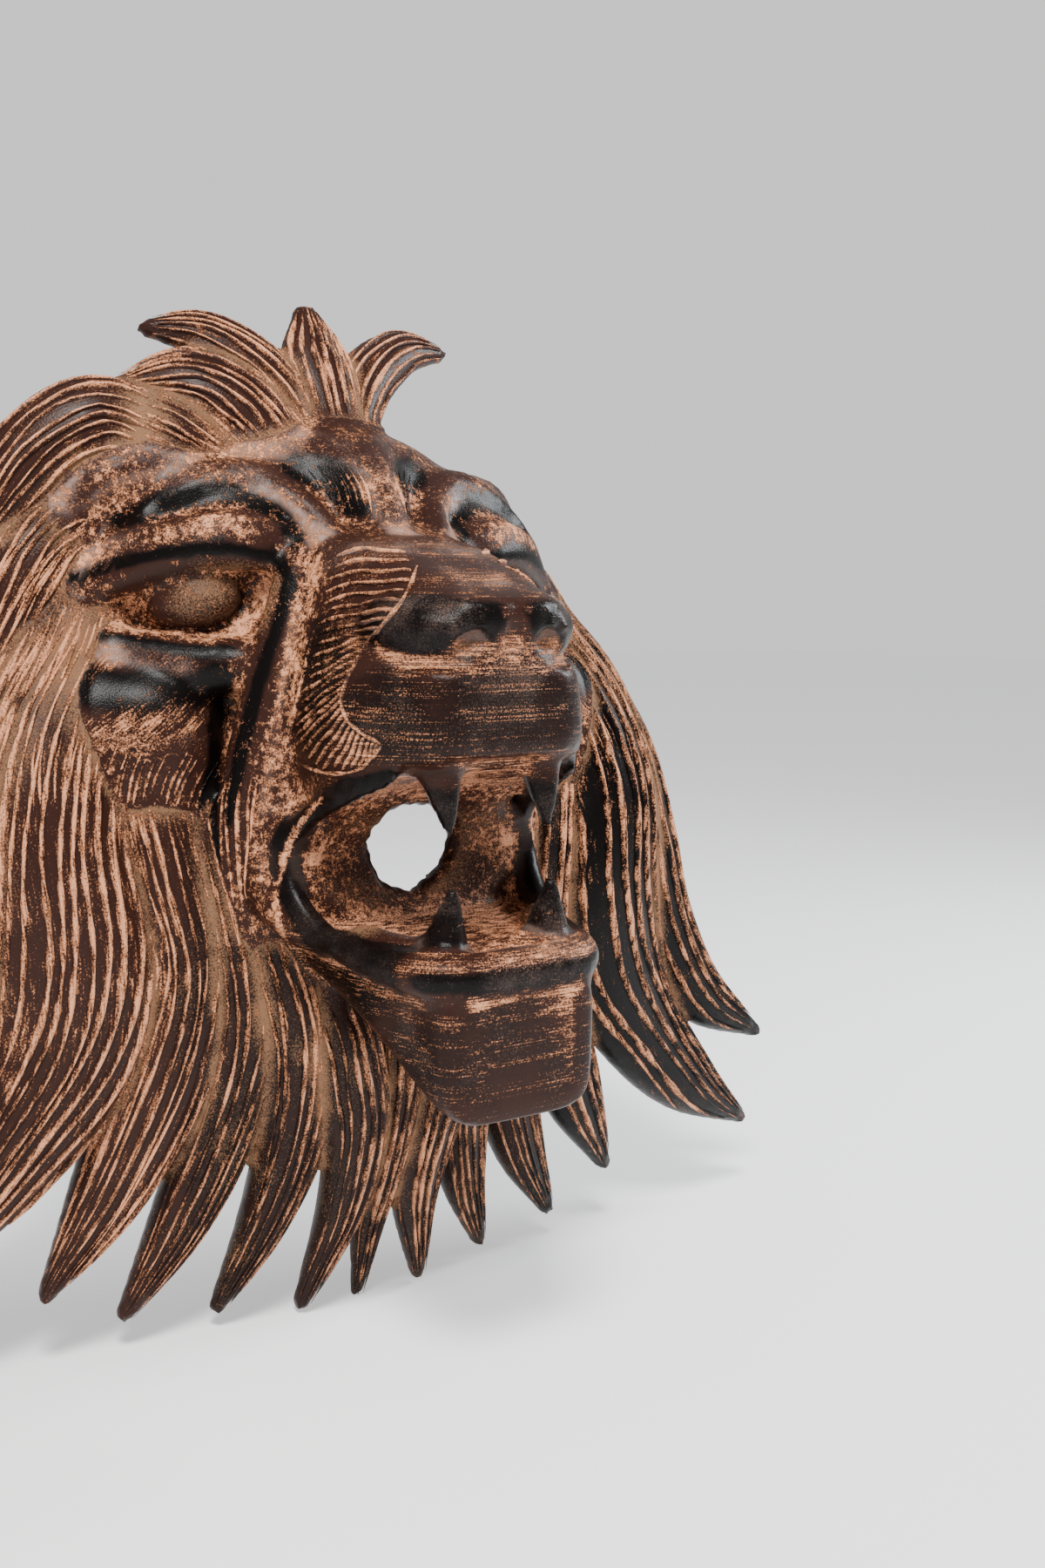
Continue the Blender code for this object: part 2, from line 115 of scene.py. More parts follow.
class Ball:
    """A ball squeezed to three half sizes, square-shouldered where the power is above 2."""

    def __init__(self, centre, size, turn=(0, 0, 0), power=2.0):
        self.centre = np.array(centre, np.float32)
        self.size = np.array(size, np.float32)
        spins = [np.array(Matrix.Rotation(math.radians(a), 3, axis)) for a, axis in zip(turn, "XYZ")]
        mirror = np.diag((1, -1, 1))
        self.spin = (mirror @ spins[2] @ spins[1] @ spins[0] @ mirror).astype(np.float32)
        self.power = power
        reach = np.abs(self.spin) @ self.size
        self.low, self.high = self.centre - reach, self.centre + reach

    def distance(self, points):
        q = np.abs((points - self.centre) @ self.spin) / self.size
        level = (q ** self.power).sum(1) ** (1 / self.power) + 1e-6
        slope = ((q / level[:, None]) ** (self.power - 1)) / self.size
        return (level - 1) / np.sqrt((slope ** 2).sum(1) + 1e-12)


class Rod:
    """A round rod through (across, forward, up, radius)."""

    def __init__(self, points, steps=4, only=0):
        self.run, self.only = smooth_run(points, steps), only
        places, radii = self.run[:, :3], self.run[:, 3:]
        self.low, self.high = (places - radii).min(0), (places + radii).max(0)

    def distance(self, points):
        best = np.full(len(points), FAR, np.float32)
        for start, end in zip(self.run[:-1], self.run[1:]):
            along = end[:3] - start[:3]
            t = np.clip(((points - start[:3]) @ along) / (along @ along + 1e-9), 0, 1)
            away = np.linalg.norm(points - start[:3] - t[:, None] * along, axis=1)
            np.minimum(best, away - start[3] - t * (end[3] - start[3]), out=best)
        return best


class Block:
    """A squared body through (forward, half width above, half width below, top, bottom, power)."""

    def __init__(self, sections, rounding=8):
        self.run = smooth_run(sections, 4)
        self.rounding = rounding
        width = self.run[:, 1:3].max()
        self.low = np.array((-width, self.run[0, 0], self.run[:, 4].min()), np.float32)
        self.high = np.array((width, self.run[-1, 0], self.run[:, 3].max()), np.float32)

    def distance(self, points):
        run = self.run
        x, forward, up = np.abs(points[:, 0]), points[:, 1], points[:, 2]
        here = np.clip(forward, run[0, 0], run[-1, 0])
        above, below, top, bottom, power = [np.interp(here, run[:, 0], run[:, i]) for i in range(1, 6)]
        half_height = (top - bottom) / 2
        rise = (up - (top + bottom) / 2) / half_height
        half_width = below + (above - below) * np.clip((rise + 1) / 2, 0, 1)
        side, rise = x / half_width, np.abs(rise)
        level = (side ** power + rise ** power) ** (1 / power) + 1e-6
        slope_side = (side / level) ** (power - 1) / half_width
        slope_rise = (rise / level) ** (power - 1) / half_height
        around = (level - 1) / np.sqrt(slope_side ** 2 + slope_rise ** 2 + 1e-12)
        ends = np.maximum(run[0, 0] - forward, forward - run[-1, 0])
        return blend_high(around, ends, self.rounding).astype(np.float32)


class Lock:
    """A flat lock of hair through (across, forward, up, half width, half thickness)."""

    def __init__(self, points, face, seed=0, only=0, pitch=STRAND_PITCH, lean=0.0):
        run = smooth_run(points)
        run[:, 3:] = np.maximum(run[:, 3:], 1.0)
        self.run, self.seed, self.only, self.lean = run, seed, only, lean
        self.strands = max(2, round(2 * np.sort(run[:, 3])[len(run) // 2] / pitch))
        ahead = np.gradient(run[:, :3], axis=0)
        ahead /= np.linalg.norm(ahead, axis=1)[:, None]
        face = np.array(face, np.float32) / np.linalg.norm(face)
        normal = face - (ahead @ face)[:, None] * ahead
        normal /= np.linalg.norm(normal, axis=1)[:, None]
        self.ahead, self.normal, self.flat = ahead, normal, np.cross(ahead, normal)
        self.length = np.linalg.norm(np.diff(run[:, :3], axis=0), axis=1).sum()
        reach = run[:, 3:4] + 3
        self.low, self.high = (run[:, :3] - reach).min(0), (run[:, :3] + reach).max(0)

    def places(self, points):
        """Across, out of and along the lock, its half width and half thickness, and how far down."""
        best = np.full(len(points), 1e9, np.float32)
        at = np.zeros(len(points), int)
        part = np.zeros(len(points), np.float32)
        for i, (start, end) in enumerate(zip(self.run[:-1], self.run[1:])):
            along = end[:3] - start[:3]
            t = np.clip(((points - start[:3]) @ along) / (along @ along + 1e-9), 0, 1)
            away = ((points - start[:3] - t[:, None] * along) ** 2).sum(1)
            closer = away < best
            best[closer], at[closer], part[closer] = away[closer], i, t[closer]
        share = part[:, None]
        between = lambda values: values[at] * (1 - share) + values[at + 1] * share
        middle = between(self.run)
        offset = points - middle[:, :3]
        across = (offset * between(self.flat)).sum(1)
        out = (offset * between(self.normal)).sum(1)
        along = (offset * between(self.ahead)).sum(1)
        return across, out, along, middle[:, 3], middle[:, 4], (at + part) / (len(self.run) - 1)

    def distance(self, points):
        across, out, along, width, thick, _ = self.places(points)
        level = np.sqrt((across / width) ** 2 + (out / thick) ** 2 + (along / width) ** 2)
        slope = np.sqrt((across / width ** 2) ** 2 + (out / thick ** 2) ** 2 + (along / width ** 2) ** 2)
        return level * (level - 1) / (slope + 1e-6)

    def strand_line(self, share, down):
        """Points on the lock's front at a share of its half width, and the room that a strand has."""
        at = down * (len(self.run) - 1)
        row = np.minimum(at.astype(int), len(self.run) - 2)
        part = (at - row)[:, None]
        between = lambda values: values[row] * (1 - part) + values[row + 1] * part
        middle = between(self.run)
        rise = np.sqrt(np.maximum(1 - share ** 2, 0))
        points = (middle[:, :3] + between(self.flat) * (middle[:, 3] * share)[:, None]
                  + between(self.normal) * (middle[:, 4] * rise)[:, None])
        return points, 2 * middle[:, 3] / self.strands


class Sculpture:
    """Distances at one patch of points. Forms stand on the left side and are mirrored."""

    def __init__(self, points):
        self.points = points
        self.left = points.copy()
        self.left[:, 0] = np.abs(points[:, 0])
        self.low, self.high = self.left.min(0), self.left.max(0)

    def near(self, form, soft, grow=0.0):
        """The form's distances, or None with a safe lower bound where it is too far off to matter."""
        gap = np.maximum(np.maximum(form.low - grow - self.high, self.low - form.high - grow), 0)
        gap = math.sqrt(gap @ gap)
        if gap > soft + 6:
            return None, gap * 0.8
        found = form.distance(self.left) - grow
        if getattr(form, "only", 0):
            found = np.where(self.points[:, 0] * form.only > 0, found, FAR)
        return found, 0

    def empty(self):
        return np.full(len(self.points), FAR, np.float32)

    def add(self, field, form, soft=0.0, grow=0.0):
        found, bound = self.near(form, soft, grow)
        return np.minimum(field, bound) if found is None else blend_low(field, found, soft)

    def add_all(self, field, forms, grow=0.0):
        for form, soft in forms:
            field = self.add(field, form, soft, grow)
        return field

    def cut(self, field, form, soft=0.0, grow=0.0):
        found, _ = self.near(form, soft, grow)
        return field if found is None else blend_high(field, -found, soft)


# The head.

SKULL = [
    (Ball((0, 16, 8), (112, 56, 66)), 0),
    (Ball((0, 26, -40), (94, 58, 90)), 20),
    (Ball((0, 30, 44), (62, 40, 33)), 14),
    (Ball((0, 66, -112), (74, 54, 60), power=2.6), 12),
    (Ball((96, 22, -82), (46, 46, 50), turn=(0, 0, 24), power=2.3), 12),
    (Ball((0, 60, -140), (64, 42, 48), power=2.4), 14)]
MUZZLE = Block([(56, 46, 74, 36, -78, 3), (95, 42, 67, 25, -76, 3.4), (125, 36, 63, 19, -73, 3.4),
    (150, 32, 57, 9, -70, 3.4), (162, 28, 50, -1, -68, 3.4)], 10)
EYE_SOCKET = Ball((80, 77, -4), (43, 24, 14), turn=(0, 10, 36), power=2.2)
CHEEK_FOLD = Rod([(70, 90, -36, 4), (77, 84, -60, 7), (80, 78, -90, 7), (80, 74, -120, 4)])
FACE = [
    (Rod([(0, 30, 54, 20), (0, 52, 52, 20), (0, 70, 42, 17), (0, 82, 28, 13)]), 12),
    (Ball((78, 46, 20), (44, 24, 22), turn=(0, 18, 32)), 10),
    (Rod([(52, 44, 40, 10), (76, 38, 46, 14), (98, 32, 46, 16), (118, 22, 34, 15), (132, 10, 12, 13),
     (140, 4, -12, 10)], only=-1), 10),
    (Rod([(52, 44, 40, 10), (72, 38, 44, 13), (90, 29, 40, 14), (101, 19, 22, 13), (106, 10, 0, 10)],
     only=1), 10),
    (Rod([(28, 84, 25, 7), (34, 70, 38, 8), (45, 59, 47, 9), (60, 53, 49, 9), (76, 50, 44, 9),
     (94, 45, 33, 9)]), 5),
    (Rod([(42, 75, 21, 7), (58, 71, 26, 9), (80, 62, 26, 10), (104, 43, 13, 10), (128, 22, -4, 9)]), 5),
    (Rod([(45, 77, 13, 6), (62, 75, 17, 7), (82, 66, 17, 8), (106, 48, 7, 7), (130, 26, -8, 6)]), 4),
    (Rod([(50, 79, -29, 9), (66, 73, -31, 12), (84, 61, -31, 13), (106, 45, -27, 12),
     (140, 18, -18, 10)]), 6),
    (Ball((79, 56, -4), (21, 15, 12), turn=(0, 8, 38)), 2),
    (Ball((103, 27, -67), (49, 45, 42), turn=(0, 0, 30), power=2.8), 4)]
FACE_DIPS = [
    (Rod([(8, 98, 50, 6), (22, 84, 52, 10), (36, 70, 58, 8), (46, 60, 64, 4)]), 7),
    (Rod([(40, 84, 32, 4), (54, 78, 39, 7), (74, 69, 41, 7), (94, 57, 34, 5)]), 5),
    (Rod([(62, 62, 62, 4), (80, 60, 60, 8), (100, 52, 48, 8), (116, 40, 32, 5)]), 7),
    (Rod([(68, 88, -42, 4), (73, 82, -62, 7), (77, 77, -90, 8), (79, 72, -120, 6)]), 4)]
RIBBON = Lock([(36, 78, 24, 8, 6), (44, 86, 6, 10, 8), (54, 88, -26, 12, 9), (62, 88, -60, 14, 10),
    (68, 86, -96, 14, 10), (66, 86, -142, 11, 7)], (0.8, 1, 0), seed=3, pitch=3.4)
LIP_BLOCK = Block([(92, 42, 60, -12, -104, 3), (118, 50, 61, -16, -100, 3), (142, 53, 59, -18, -94, 3),
    (163, 46, 52, -18, -84, 3.2), (178, 37, 43, -18, -76, 3.4), (187, 29, 35, -22, -70, 3.6)], 9)
JAW = Block([(84, 56, 46, -134, -166, 3), (110, 57, 49, -139, -170, 3.2), (140, 54, 47, -145, -182, 3.6),
    (160, 47, 42, -149, -198, 4), (174, 42, 38, -152, -209, 4.5), (195, 38, 36, -154, -216, 5)], 8)
MOUTH = Ball((0, 174, -108), (130, 68, 40), turn=(-12, 0, 0), power=2.3)
BRIDGE = Block([(84, 38, 50, 27, -10, 4), (95, 38, 48, 26, -14, 4), (125, 35, 44, 20, -18, 4),
    (150, 32, 38, 11.5, -24, 4), (168, 29, 31, 4.5, -25, 4), (190, 27, 25, -4, -27, 4)], 4)
NOSE_TIP = np.array((0, 190, -4), np.float32)
NOSE_SLOPE = np.array((0, 0.871, -0.492), np.float32)
NOSE_WING = Rod([(8, 182, -12, 8), (20, 178, -13, 10), (28, 168, -14, 12.5), (32, 157, -14, 13),
    (35, 147, -13, 10)])
UNDER_WING = Rod([(0, 189, -26, 2), (12, 190, -26, 3), (26, 182, -27, 3), (38, 170, -27, 2.5),
    (46, 152, -26, 1.5)])
NOSTRIL = Ball((20, 186, -19), (8, 8, 4), turn=(0, 22, 24))
WING_CREASE = Rod([(34, 172, -4, 1.5), (26, 186, -8, 2.5), (12, 190, -9, 1.5)])
LIP_ROLL = Rod([(0, 187, -153, 10), (20, 187, -153, 10), (35, 182, -152.5, 10), (45, 164, -150, 8),
    (53, 140, -146, 6), (58, 120, -137, 5.5), (61, 108, -122, 5.5), (61, 105, -109, 5.5),
    (58, 110, -99, 5.5), (55, 120, -91, 5), (53, 134, -84.5, 5), (50, 148, -79, 4.5), (45, 164, -74, 3.5)])
LIP_ROOT = Rod([(54, 128, -146, 6), (61, 110, -138, 9), (65, 96, -126, 9), (65, 94, -110, 8),
    (62, 100, -98, 6)])
GUMS = [
    Rod([(0, 168, -152, 8), (20, 170, -150, 9), (34, 162, -147, 8), (44, 140, -143, 7)]),
    Rod([(0, 166, -66, 7), (22, 168, -66, 8), (36, 158, -67, 7), (48, 136, -70, 5)])]
FANGS = [
    Rod([(25, 168, -66, 10), (24.5, 172, -80, 7), (24, 176, -97, 2.2)], 3),
    Rod([(26, 172, -150, 12), (25, 175, -136, 8), (24.3, 178.5, -118, 2.4)], 3)]

# The mane.

MANE_MASS = [
    (Block([(-14, 92, 216, 62, -248, 2.8), (10, 91, 212, 62, -244, 2.8), (26, 87, 198, 60, -230, 2.8),
     (38, 78, 166, 56, -200, 2.6), (46, 60, 112, 46, -150, 2.4)], 4), 0),
    (Ball((0, 4, -176), (96, 74, 108)), 20)]
CROWN = Block([(-14, 28, 36, 110, 20, 3), (10, 27, 36, 108, 20, 3), (24, 22, 34, 98, 20, 3)], 4)
LOCKS = [
    Lock([(96, 4, 44, 12, 8), (104, 9, 24, 16, 12), (115, 22, -4, 18, 15), (136, 34, -42, 24, 19),
     (163, 40, -86, 27, 20), (177, 44, -130, 27, 19), (190, 46, -176, 24, 17), (216, 48, -218, 17, 14),
     (260, 50, -246, 4, 5)], (0.5, 1, 0), seed=1),
    Lock([(104, 12, 30, 13, 12), (120, 28, -14, 20, 16), (142, 42, -56, 28, 19), (150, 54, -102, 34, 20),
     (146, 58, -150, 40, 20), (150, 58, -190, 38, 19), (170, 56, -228, 28, 17), (205, 52, -264, 19, 14),
     (249, 50, -294, 4, 5)], (0.35, 1, 0), seed=2, lean=1.2),
    Lock([(108, 42, -50, 16, 12), (104, 54, -84, 20, 16), (98, 62, -122, 22, 17), (92, 66, -160, 22, 17),
     (102, 64, -205, 24, 16), (124, 58, -255, 18, 13), (152, 50, -302, 4, 5)], (0.3, 1, 0), seed=3),
    Lock([(80, 58, -86, 12, 12), (76, 66, -112, 16, 15), (70, 72, -146, 18, 16), (66, 74, -186, 19, 16),
     (74, 66, -230, 18, 15), (92, 56, -278, 14, 12), (116, 48, -320, 4, 5)], (0.2, 1, 0), seed=4),
    Lock([(60, 78, -130, 12, 12), (54, 84, -156, 16, 14), (46, 86, -192, 18, 15), (44, 76, -236, 17, 14),
     (54, 62, -284, 12, 11), (72, 50, -326, 4, 5)], (0.1, 1, 0), seed=5),
    Lock([(34, 94, -176, 12, 12), (28, 96, -204, 15, 14), (20, 88, -240, 15, 13), (20, 72, -284, 11, 11),
     (32, 56, -332, 4, 5)], (0, 1, 0), seed=6),
    Lock([(0, 92, -180, 10, 12), (0, 92, -212, 12, 13), (0, 82, -250, 11, 12), (0, 64, -294, 8, 9),
     (0, 52, -336, 3, 4)], (0, 1, 0), seed=7),
    Lock([(0, 40, 54, 14, 12), (0, 30, 84, 18, 14), (0, 20, 108, 17, 12), (0, 12, 132, 5, 6)],
     (0, 1, 0.5), seed=8),
    Lock([(26, 40, 54, 18, 12), (40, 31, 78, 20, 14), (64, 22, 92, 18, 12), (94, 12, 90, 5, 5)],
     (0.2, 1, 0.5), seed=9, only=-1),
    Lock([(56, 34, 52, 19, 12), (80, 27, 68, 20, 14), (104, 18, 70, 16, 12), (124, 10, 52, 5, 5)],
     (0.3, 1, 0.4), seed=10, only=-1),
    Lock([(10, 38, 56, 12, 12), (14, 29, 78, 14, 13), (28, 20, 100, 15, 12), (52, 12, 116, 12, 9),
     (78, 8, 118, 4, 5)], (0.1, 1, 0.5), seed=15),
    Lock([(20, 34, 44, 14, 11), (42, 22, 46, 16, 12), (70, 13, 42, 15, 11), (94, 8, 26, 10, 8),
     (108, 5, 4, 4, 5)], (0.2, 1, 0.4), seed=13, only=1),
    Lock([(58, 26, 30, 15, 11), (84, 16, 28, 16, 12), (104, 12, 8, 14, 10), (116, 9, -18, 5, 6)],
     (0.3, 1, 0.3), seed=14, only=1),
    Lock([(76, 26, 62, 20, 12), (108, 22, 72, 22, 15), (140, 17, 50, 19, 13), (166, 14, 8, 6, 6)],
     (0.3, 1, 0.3), seed=11, only=-1),
    Lock([(100, 18, 40, 20, 12), (130, 20, 22, 22, 15), (152, 20, -14, 19, 14), (170, 16, -62, 6, 6)],
     (0.5, 1, 0.1), seed=12, only=-1)]


def head_field(work):
    """The head with its face, mouth, nose and teeth."""
    field = work.add_all(work.empty(), SKULL)
    field = work.add(field, MUZZLE, 8)
    field = work.cut(field, EYE_SOCKET, 4)
    field = work.cut(field, CHEEK_FOLD, 5)
    field = work.add_all(field, FACE)
    for form, soft in FACE_DIPS:
        field = work.cut(field, form, soft)
    field = work.add(field, RIBBON, 3)
    field = work.add(field, LIP_BLOCK, 6)
    field = work.add(field, JAW, 6)
    field = work.cut(field, MOUTH, 2)
    bridge = work.add(work.empty(), BRIDGE)
    bridge = blend_high(bridge, (work.points - NOSE_TIP) @ NOSE_SLOPE, 3)
    field = blend_low(field, bridge, 4)
    field = work.cut(field, UNDER_WING, 3)
    field = work.add(field, NOSE_WING, 4)
    field = work.cut(field, WING_CREASE, 3)
    field = work.cut(field, NOSTRIL, 2)
    field = work.add(field, LIP_ROOT, 4)
    field = work.add(field, LIP_ROLL, 2)
    for form in GUMS:
        field = work.add(field, form, 4)
    for form in FANGS:
        field = work.add(field, form, 3)
    return field


def hollow_field(work):
    """The hollow behind the face, about a wall's thickness or more inside it, around the hanging pad."""
    inside = work.add_all(work.empty(), SKULL + MANE_MASS, -WALL)
    inside = work.add(inside, MUZZLE, 8, -WALL)
    for form in (MOUTH, EYE_SOCKET, CHEEK_FOLD):
        inside = work.cut(inside, form, 4, WALL)
    pad = np.maximum(work.left[:, 0] - PAD_HALF_WIDTH, PAD_BOTTOM - work.points[:, 2])
    return np.maximum(inside, -pad)


def throat_field(points):
    """The torn-edged hole at the back of the mouth."""
    x, up = points[:, 0], points[:, 2] - THROAT_LEVEL
    angle = np.arctan2(up, x)
    tear = 1 + 0.05 * np.sin(3 * angle + 1) + 0.04 * np.sin(7 * angle) + 0.03 * np.sin(17 * angle + 2)
    around = (np.hypot(x / THROAT_HALF[0], up / THROAT_HALF[1]) - tear) * THROAT_HALF[1]
    return np.maximum(around, np.abs(points[:, 1] - 100) - 32)


def casting_field(points):
    """Distance to the casting's skin, below zero inside the metal."""
    work = Sculpture(points)
    field = work.add_all(work.empty(), MANE_MASS)
    field = work.add(field, CROWN, 6)
    for lock in LOCKS:
        field = work.add(field, lock, 1.5)
    field = blend_low(field, head_field(work), 8)
    field = np.maximum(field, -hollow_field(work))
    field = blend_high(field, -throat_field(points), 1)
    return np.maximum(field, -points[:, 1])


def sample_field(field, low, high, step, side=14):
    """The field on a grid, worked out in full only in the cubes that the skin may pass through."""
    count = -(-(np.ceil((high - low) / step).astype(int) + 1) // side) * side
    values = np.empty(count, np.float32)
    cubes = count // side
    centres = [low[a] + step * (np.arange(cubes[a]) * side + (side - 1) / 2) for a in range(3)]
    steps = np.arange(side) * step
    inner = np.stack(np.meshgrid(steps, steps, steps, indexing="ij"), -1).reshape(-1, 3)
    reach = step * side / 2 * math.sqrt(3) * 1.5
    for i in range(cubes[0]):
        slab = np.stack(np.meshgrid([centres[0][i]], centres[1], centres[2], indexing="ij"), -1)
        rough = field(slab.reshape(-1, 3).astype(np.float32)).reshape(cubes[1], cubes[2])
        for j in range(cubes[1]):
            for k in range(cubes[2]):
                cube = tuple(slice(n * side, (n + 1) * side) for n in (i, j, k))
                if abs(rough[j, k]) > reach:
                    values[cube] = rough[j, k]
                else:
                    points = (inner + low + step * side * np.array((i, j, k))).astype(np.float32)
                    values[cube] = field(points).reshape(side, side, side)
    return values


def skin_of(values):
    """Points, in grid steps, and four-sided faces of the skin where the values pass zero."""
    inside = values < 0
    corners = [(dx, dy, dz) for dx in (0, 1) for dy in (0, 1) for dz in (0, 1)]
    cells = tuple(n - 1 for n in values.shape)
    shifted = lambda grid, d: grid[tuple(slice(s, s + n) for s, n in zip(d, cells))]
    filled = sum(shifted(inside, d).astype(np.uint8) for d in corners)
    crossed = (filled > 0) & (filled < 8)
    places = np.argwhere(crossed)
    numbers = np.full(cells, -1, np.int32)
    numbers[crossed] = np.arange(len(places))
    corner = {d: values[tuple((places + d).T)] for d in corners}
    total = np.zeros((len(places), 3))
    hits = np.zeros(len(places))
    for axis in range(3):
        for start in corners:
            if start[axis]:
                continue
            end = tuple(1 if a == axis else start[a] for a in range(3))
            a, b = corner[start], corner[end]
            hit = (a < 0) != (b < 0)
            point = np.tile(np.array(start, float), (hit.sum(), 1))
            point[:, axis] = a[hit] / (a[hit] - b[hit])
            total[hit] += point
            hits[hit] += 1
    faces = []
    for axis in range(3):
        others = [a for a in range(3) if a != axis]
        here = [slice(1, -1) if a in others else slice(0, -1) for a in range(3)]
        there = [slice(1, -1) if a in others else slice(1, None) for a in range(3)]
        first, second = inside[tuple(here)], inside[tuple(there)]
        change = np.argwhere(first != second)
        out = first[first != second]
        if axis == 1:
            out = ~out
        change[:, others] += 1
        ring = []
        for back in ((-1, -1), (0, -1), (0, 0), (-1, 0)):
            cell = change.copy()
            cell[:, others] += back
            ring.append(numbers[tuple(cell.T)])
        ring = np.stack(ring, 1)
        ring[~out] = ring[~out][:, ::-1]
        faces.append(ring)
    return places + total / hits[:, None], np.vstack(faces)


def mesh_from(points, faces, name):
    """A mesh in metres from points in squares and faces with the same number of corners."""
    mesh = bpy.data.meshes.new(name)
    mesh.vertices.add(len(points))
    mesh.vertices.foreach_set("co", to_metres(points).astype(np.float32).ravel())
    mesh.loops.add(faces.size)
    mesh.loops.foreach_set("vertex_index", faces.astype(np.int32).ravel())
    mesh.polygons.add(len(faces))
    mesh.polygons.foreach_set("loop_start", np.arange(0, faces.size, faces.shape[1], dtype=np.int32))
    mesh.update()
    mesh.validate()
    return mesh


def to_metres(points):
    return (points * (1, -1, 1) - (0, 0, HANG_LEVEL)) * SQUARE


def to_squares(places):
    return ((places / SQUARE + (0, 0, HANG_LEVEL)) * (1, -1, 1)).astype(np.float32)


def read_rows(source, key):
    """The vectors under the key, one row for each item."""
    rows = np.empty(len(source) * 3, np.float32)
    source.foreach_get(key, rows)
    return rows.reshape(-1, 3)


def read_points(mesh):
    return to_squares(read_rows(mesh.vertices, "co").astype(float))


def read_normals(mesh):
    return read_rows(mesh.vertex_normals, "vector") * (1, -1, 1)


def with_modifier(mesh, kind, **settings):
    """The mesh as one modifier makes it."""
    thing = bpy.data.objects.new("step", mesh)
    bpy.context.scene.collection.objects.link(thing)
    modifier = thing.modifiers.new("step", kind)
    for key, value in settings.items():
        setattr(modifier, key, value)
    bpy.context.view_layer.update()
    result = bpy.data.meshes.new_from_object(thing.evaluated_get(bpy.context.evaluated_depsgraph_get()))
    bpy.data.objects.remove(thing, do_unlink=True)
    return result


def by_patches(function, points, columns, side=26.0):
    """Runs a function that gives columns of values on the points, one small cube of space at a time."""
    cell = np.floor((points - LOW) / side).astype(np.int64)
    key = (cell[:, 0] * 1000 + cell[:, 1]) * 1000 + cell[:, 2]
    order = np.argsort(key, kind="stable")
    starts = np.flatnonzero(np.diff(key[order], prepend=-1))
    result = np.zeros((len(points), columns), np.float32)
    for group in np.split(order, starts[1:]):
        result[group] = np.reshape(function(points[group]), (columns, -1)).T
    return result


# The photo's camera: its size in pixels, and its place worked out from the nose.
PHOTO_WIDTH, PHOTO_HEIGHT = 1200, 1800
PHOTO_FOCUS = 1960
HEADING, TILT = math.radians(35), math.radians(6.4)
NOSE_FORWARD, NOSE_DISTANCE, NOSE_ASIDE = 190, 680, -1.4


def photo_frame():
    """The photo camera's place, in metres, and its directions right, up and ahead."""
    right = Vector((math.cos(HEADING), -math.sin(HEADING), 0))
    ahead = Vector((math.sin(HEADING), math.cos(HEADING), 0))
    aside = NOSE_ASIDE - NOSE_FORWARD * math.sin(HEADING)
    away = NOSE_DISTANCE + NOSE_FORWARD * math.cos(HEADING)
    place = -right * (aside * SQUARE) - ahead * (away * SQUARE) - Vector((0, 0, HANG_LEVEL * SQUARE))
    look = ahead * math.cos(TILT) - Vector((0, 0, math.sin(TILT)))
    return place, right, right.cross(look), look


def placed(lines):
    """Lines laid out in the photo's pixels, brought onto the skin that the photo's camera sees there."""
    place, right, up, look = [np.array(part) for part in photo_frame()]
    marks = np.vstack(lines)
    rays = (look + right * ((marks[:, :1] - PHOTO_WIDTH / 2) / PHOTO_FOCUS)
            - up * ((marks[:, 1:2] - PHOTO_HEIGHT / 2) / PHOTO_FOCUS))
    rays = rays / np.linalg.norm(rays, axis=1)[:, None] * (1, -1, 1)
    start = to_squares(place)
    far = np.full((len(marks), 1), 520.0)
    for _ in range(30):
        far += by_patches(casting_field, (start + rays * far).astype(np.float32), 1, 60.0) * 0.9
    points = start + rays * far
    return np.split(points, np.cumsum([len(line) for line in lines])[:-1])


# Curves on the near side of the face, in the photo's pixels: where the ridges of the whisker pad
# start and end, and single raised lines.
PAD_BACK = [(380, 632), (374, 660), (369, 690), (364, 716), (358, 745), (351, 775), (344, 802), (338, 830),
    (334, 857), (348, 875), (370, 884), (394, 886), (415, 879), (430, 866)]
PAD_FRONT = [(464, 630), (477, 652), (469, 676), (456, 699), (437, 721), (424, 738), (411, 759), (400, 780),
    (394, 798), (396, 816), (404, 831), (414, 841), (426, 849), (435, 854)]
FACE_LINES = [
    [(479, 649), (466, 683), (437, 720), (427, 731), (409, 760), (393, 797), (397, 823), (414, 841),
     (437, 854)],
    [(362, 720), (345, 790), (332, 860), (355, 881), (385, 888), (415, 881), (438, 856)]]

# Fans of fine hair, each between two curves in the photo's pixels, with the number of hairs.
FANS = [
    ([(96, 612), (70, 640), (40, 690), (20, 740)], [(150, 566), (96, 600), (40, 650), (4, 700)], 7),
    ([(40, 838), (34, 880), (36, 930)], [(285, 872), (262, 905), (246, 940)], 26),
    ([(345, 535), (362, 556), (372, 582)], [(410, 535), (424, 560), (430, 588)], 9)]


def dice(seed):
    return np.random.default_rng(seed)


def whisker_lines():
    """Wavy ridges across the pad, from its back edge to the edge of the lip."""
    back, front = smooth_run(PAD_BACK), smooth_run(PAD_FRONT)
    luck = dice(50)
    lines = []
    for number in range(WHISKERS):
        at = (number + 0.5) / WHISKERS * (len(back) - 1)
        row = min(int(at), len(back) - 2)
        start = back[row] + (back[row + 1] - back[row]) * (at - row)
        end = front[row] + (front[row + 1] - front[row]) * (at - row)
        t = np.linspace(luck.uniform(0, 0.12), luck.uniform(0.95, 0.99), 20)[:, None]
        line = start + (end - start) * t
        bow = 6.0 * (1 - 2 * number / WHISKERS)
        line[:, 1] -= bow * np.sin(math.pi * t[:, 0])
        line[:, 1] += 1.3 * np.sin(10 * t[:, 0] + luck.uniform(0, 1.2) + number / 3)
        lines.append(line)
    return lines


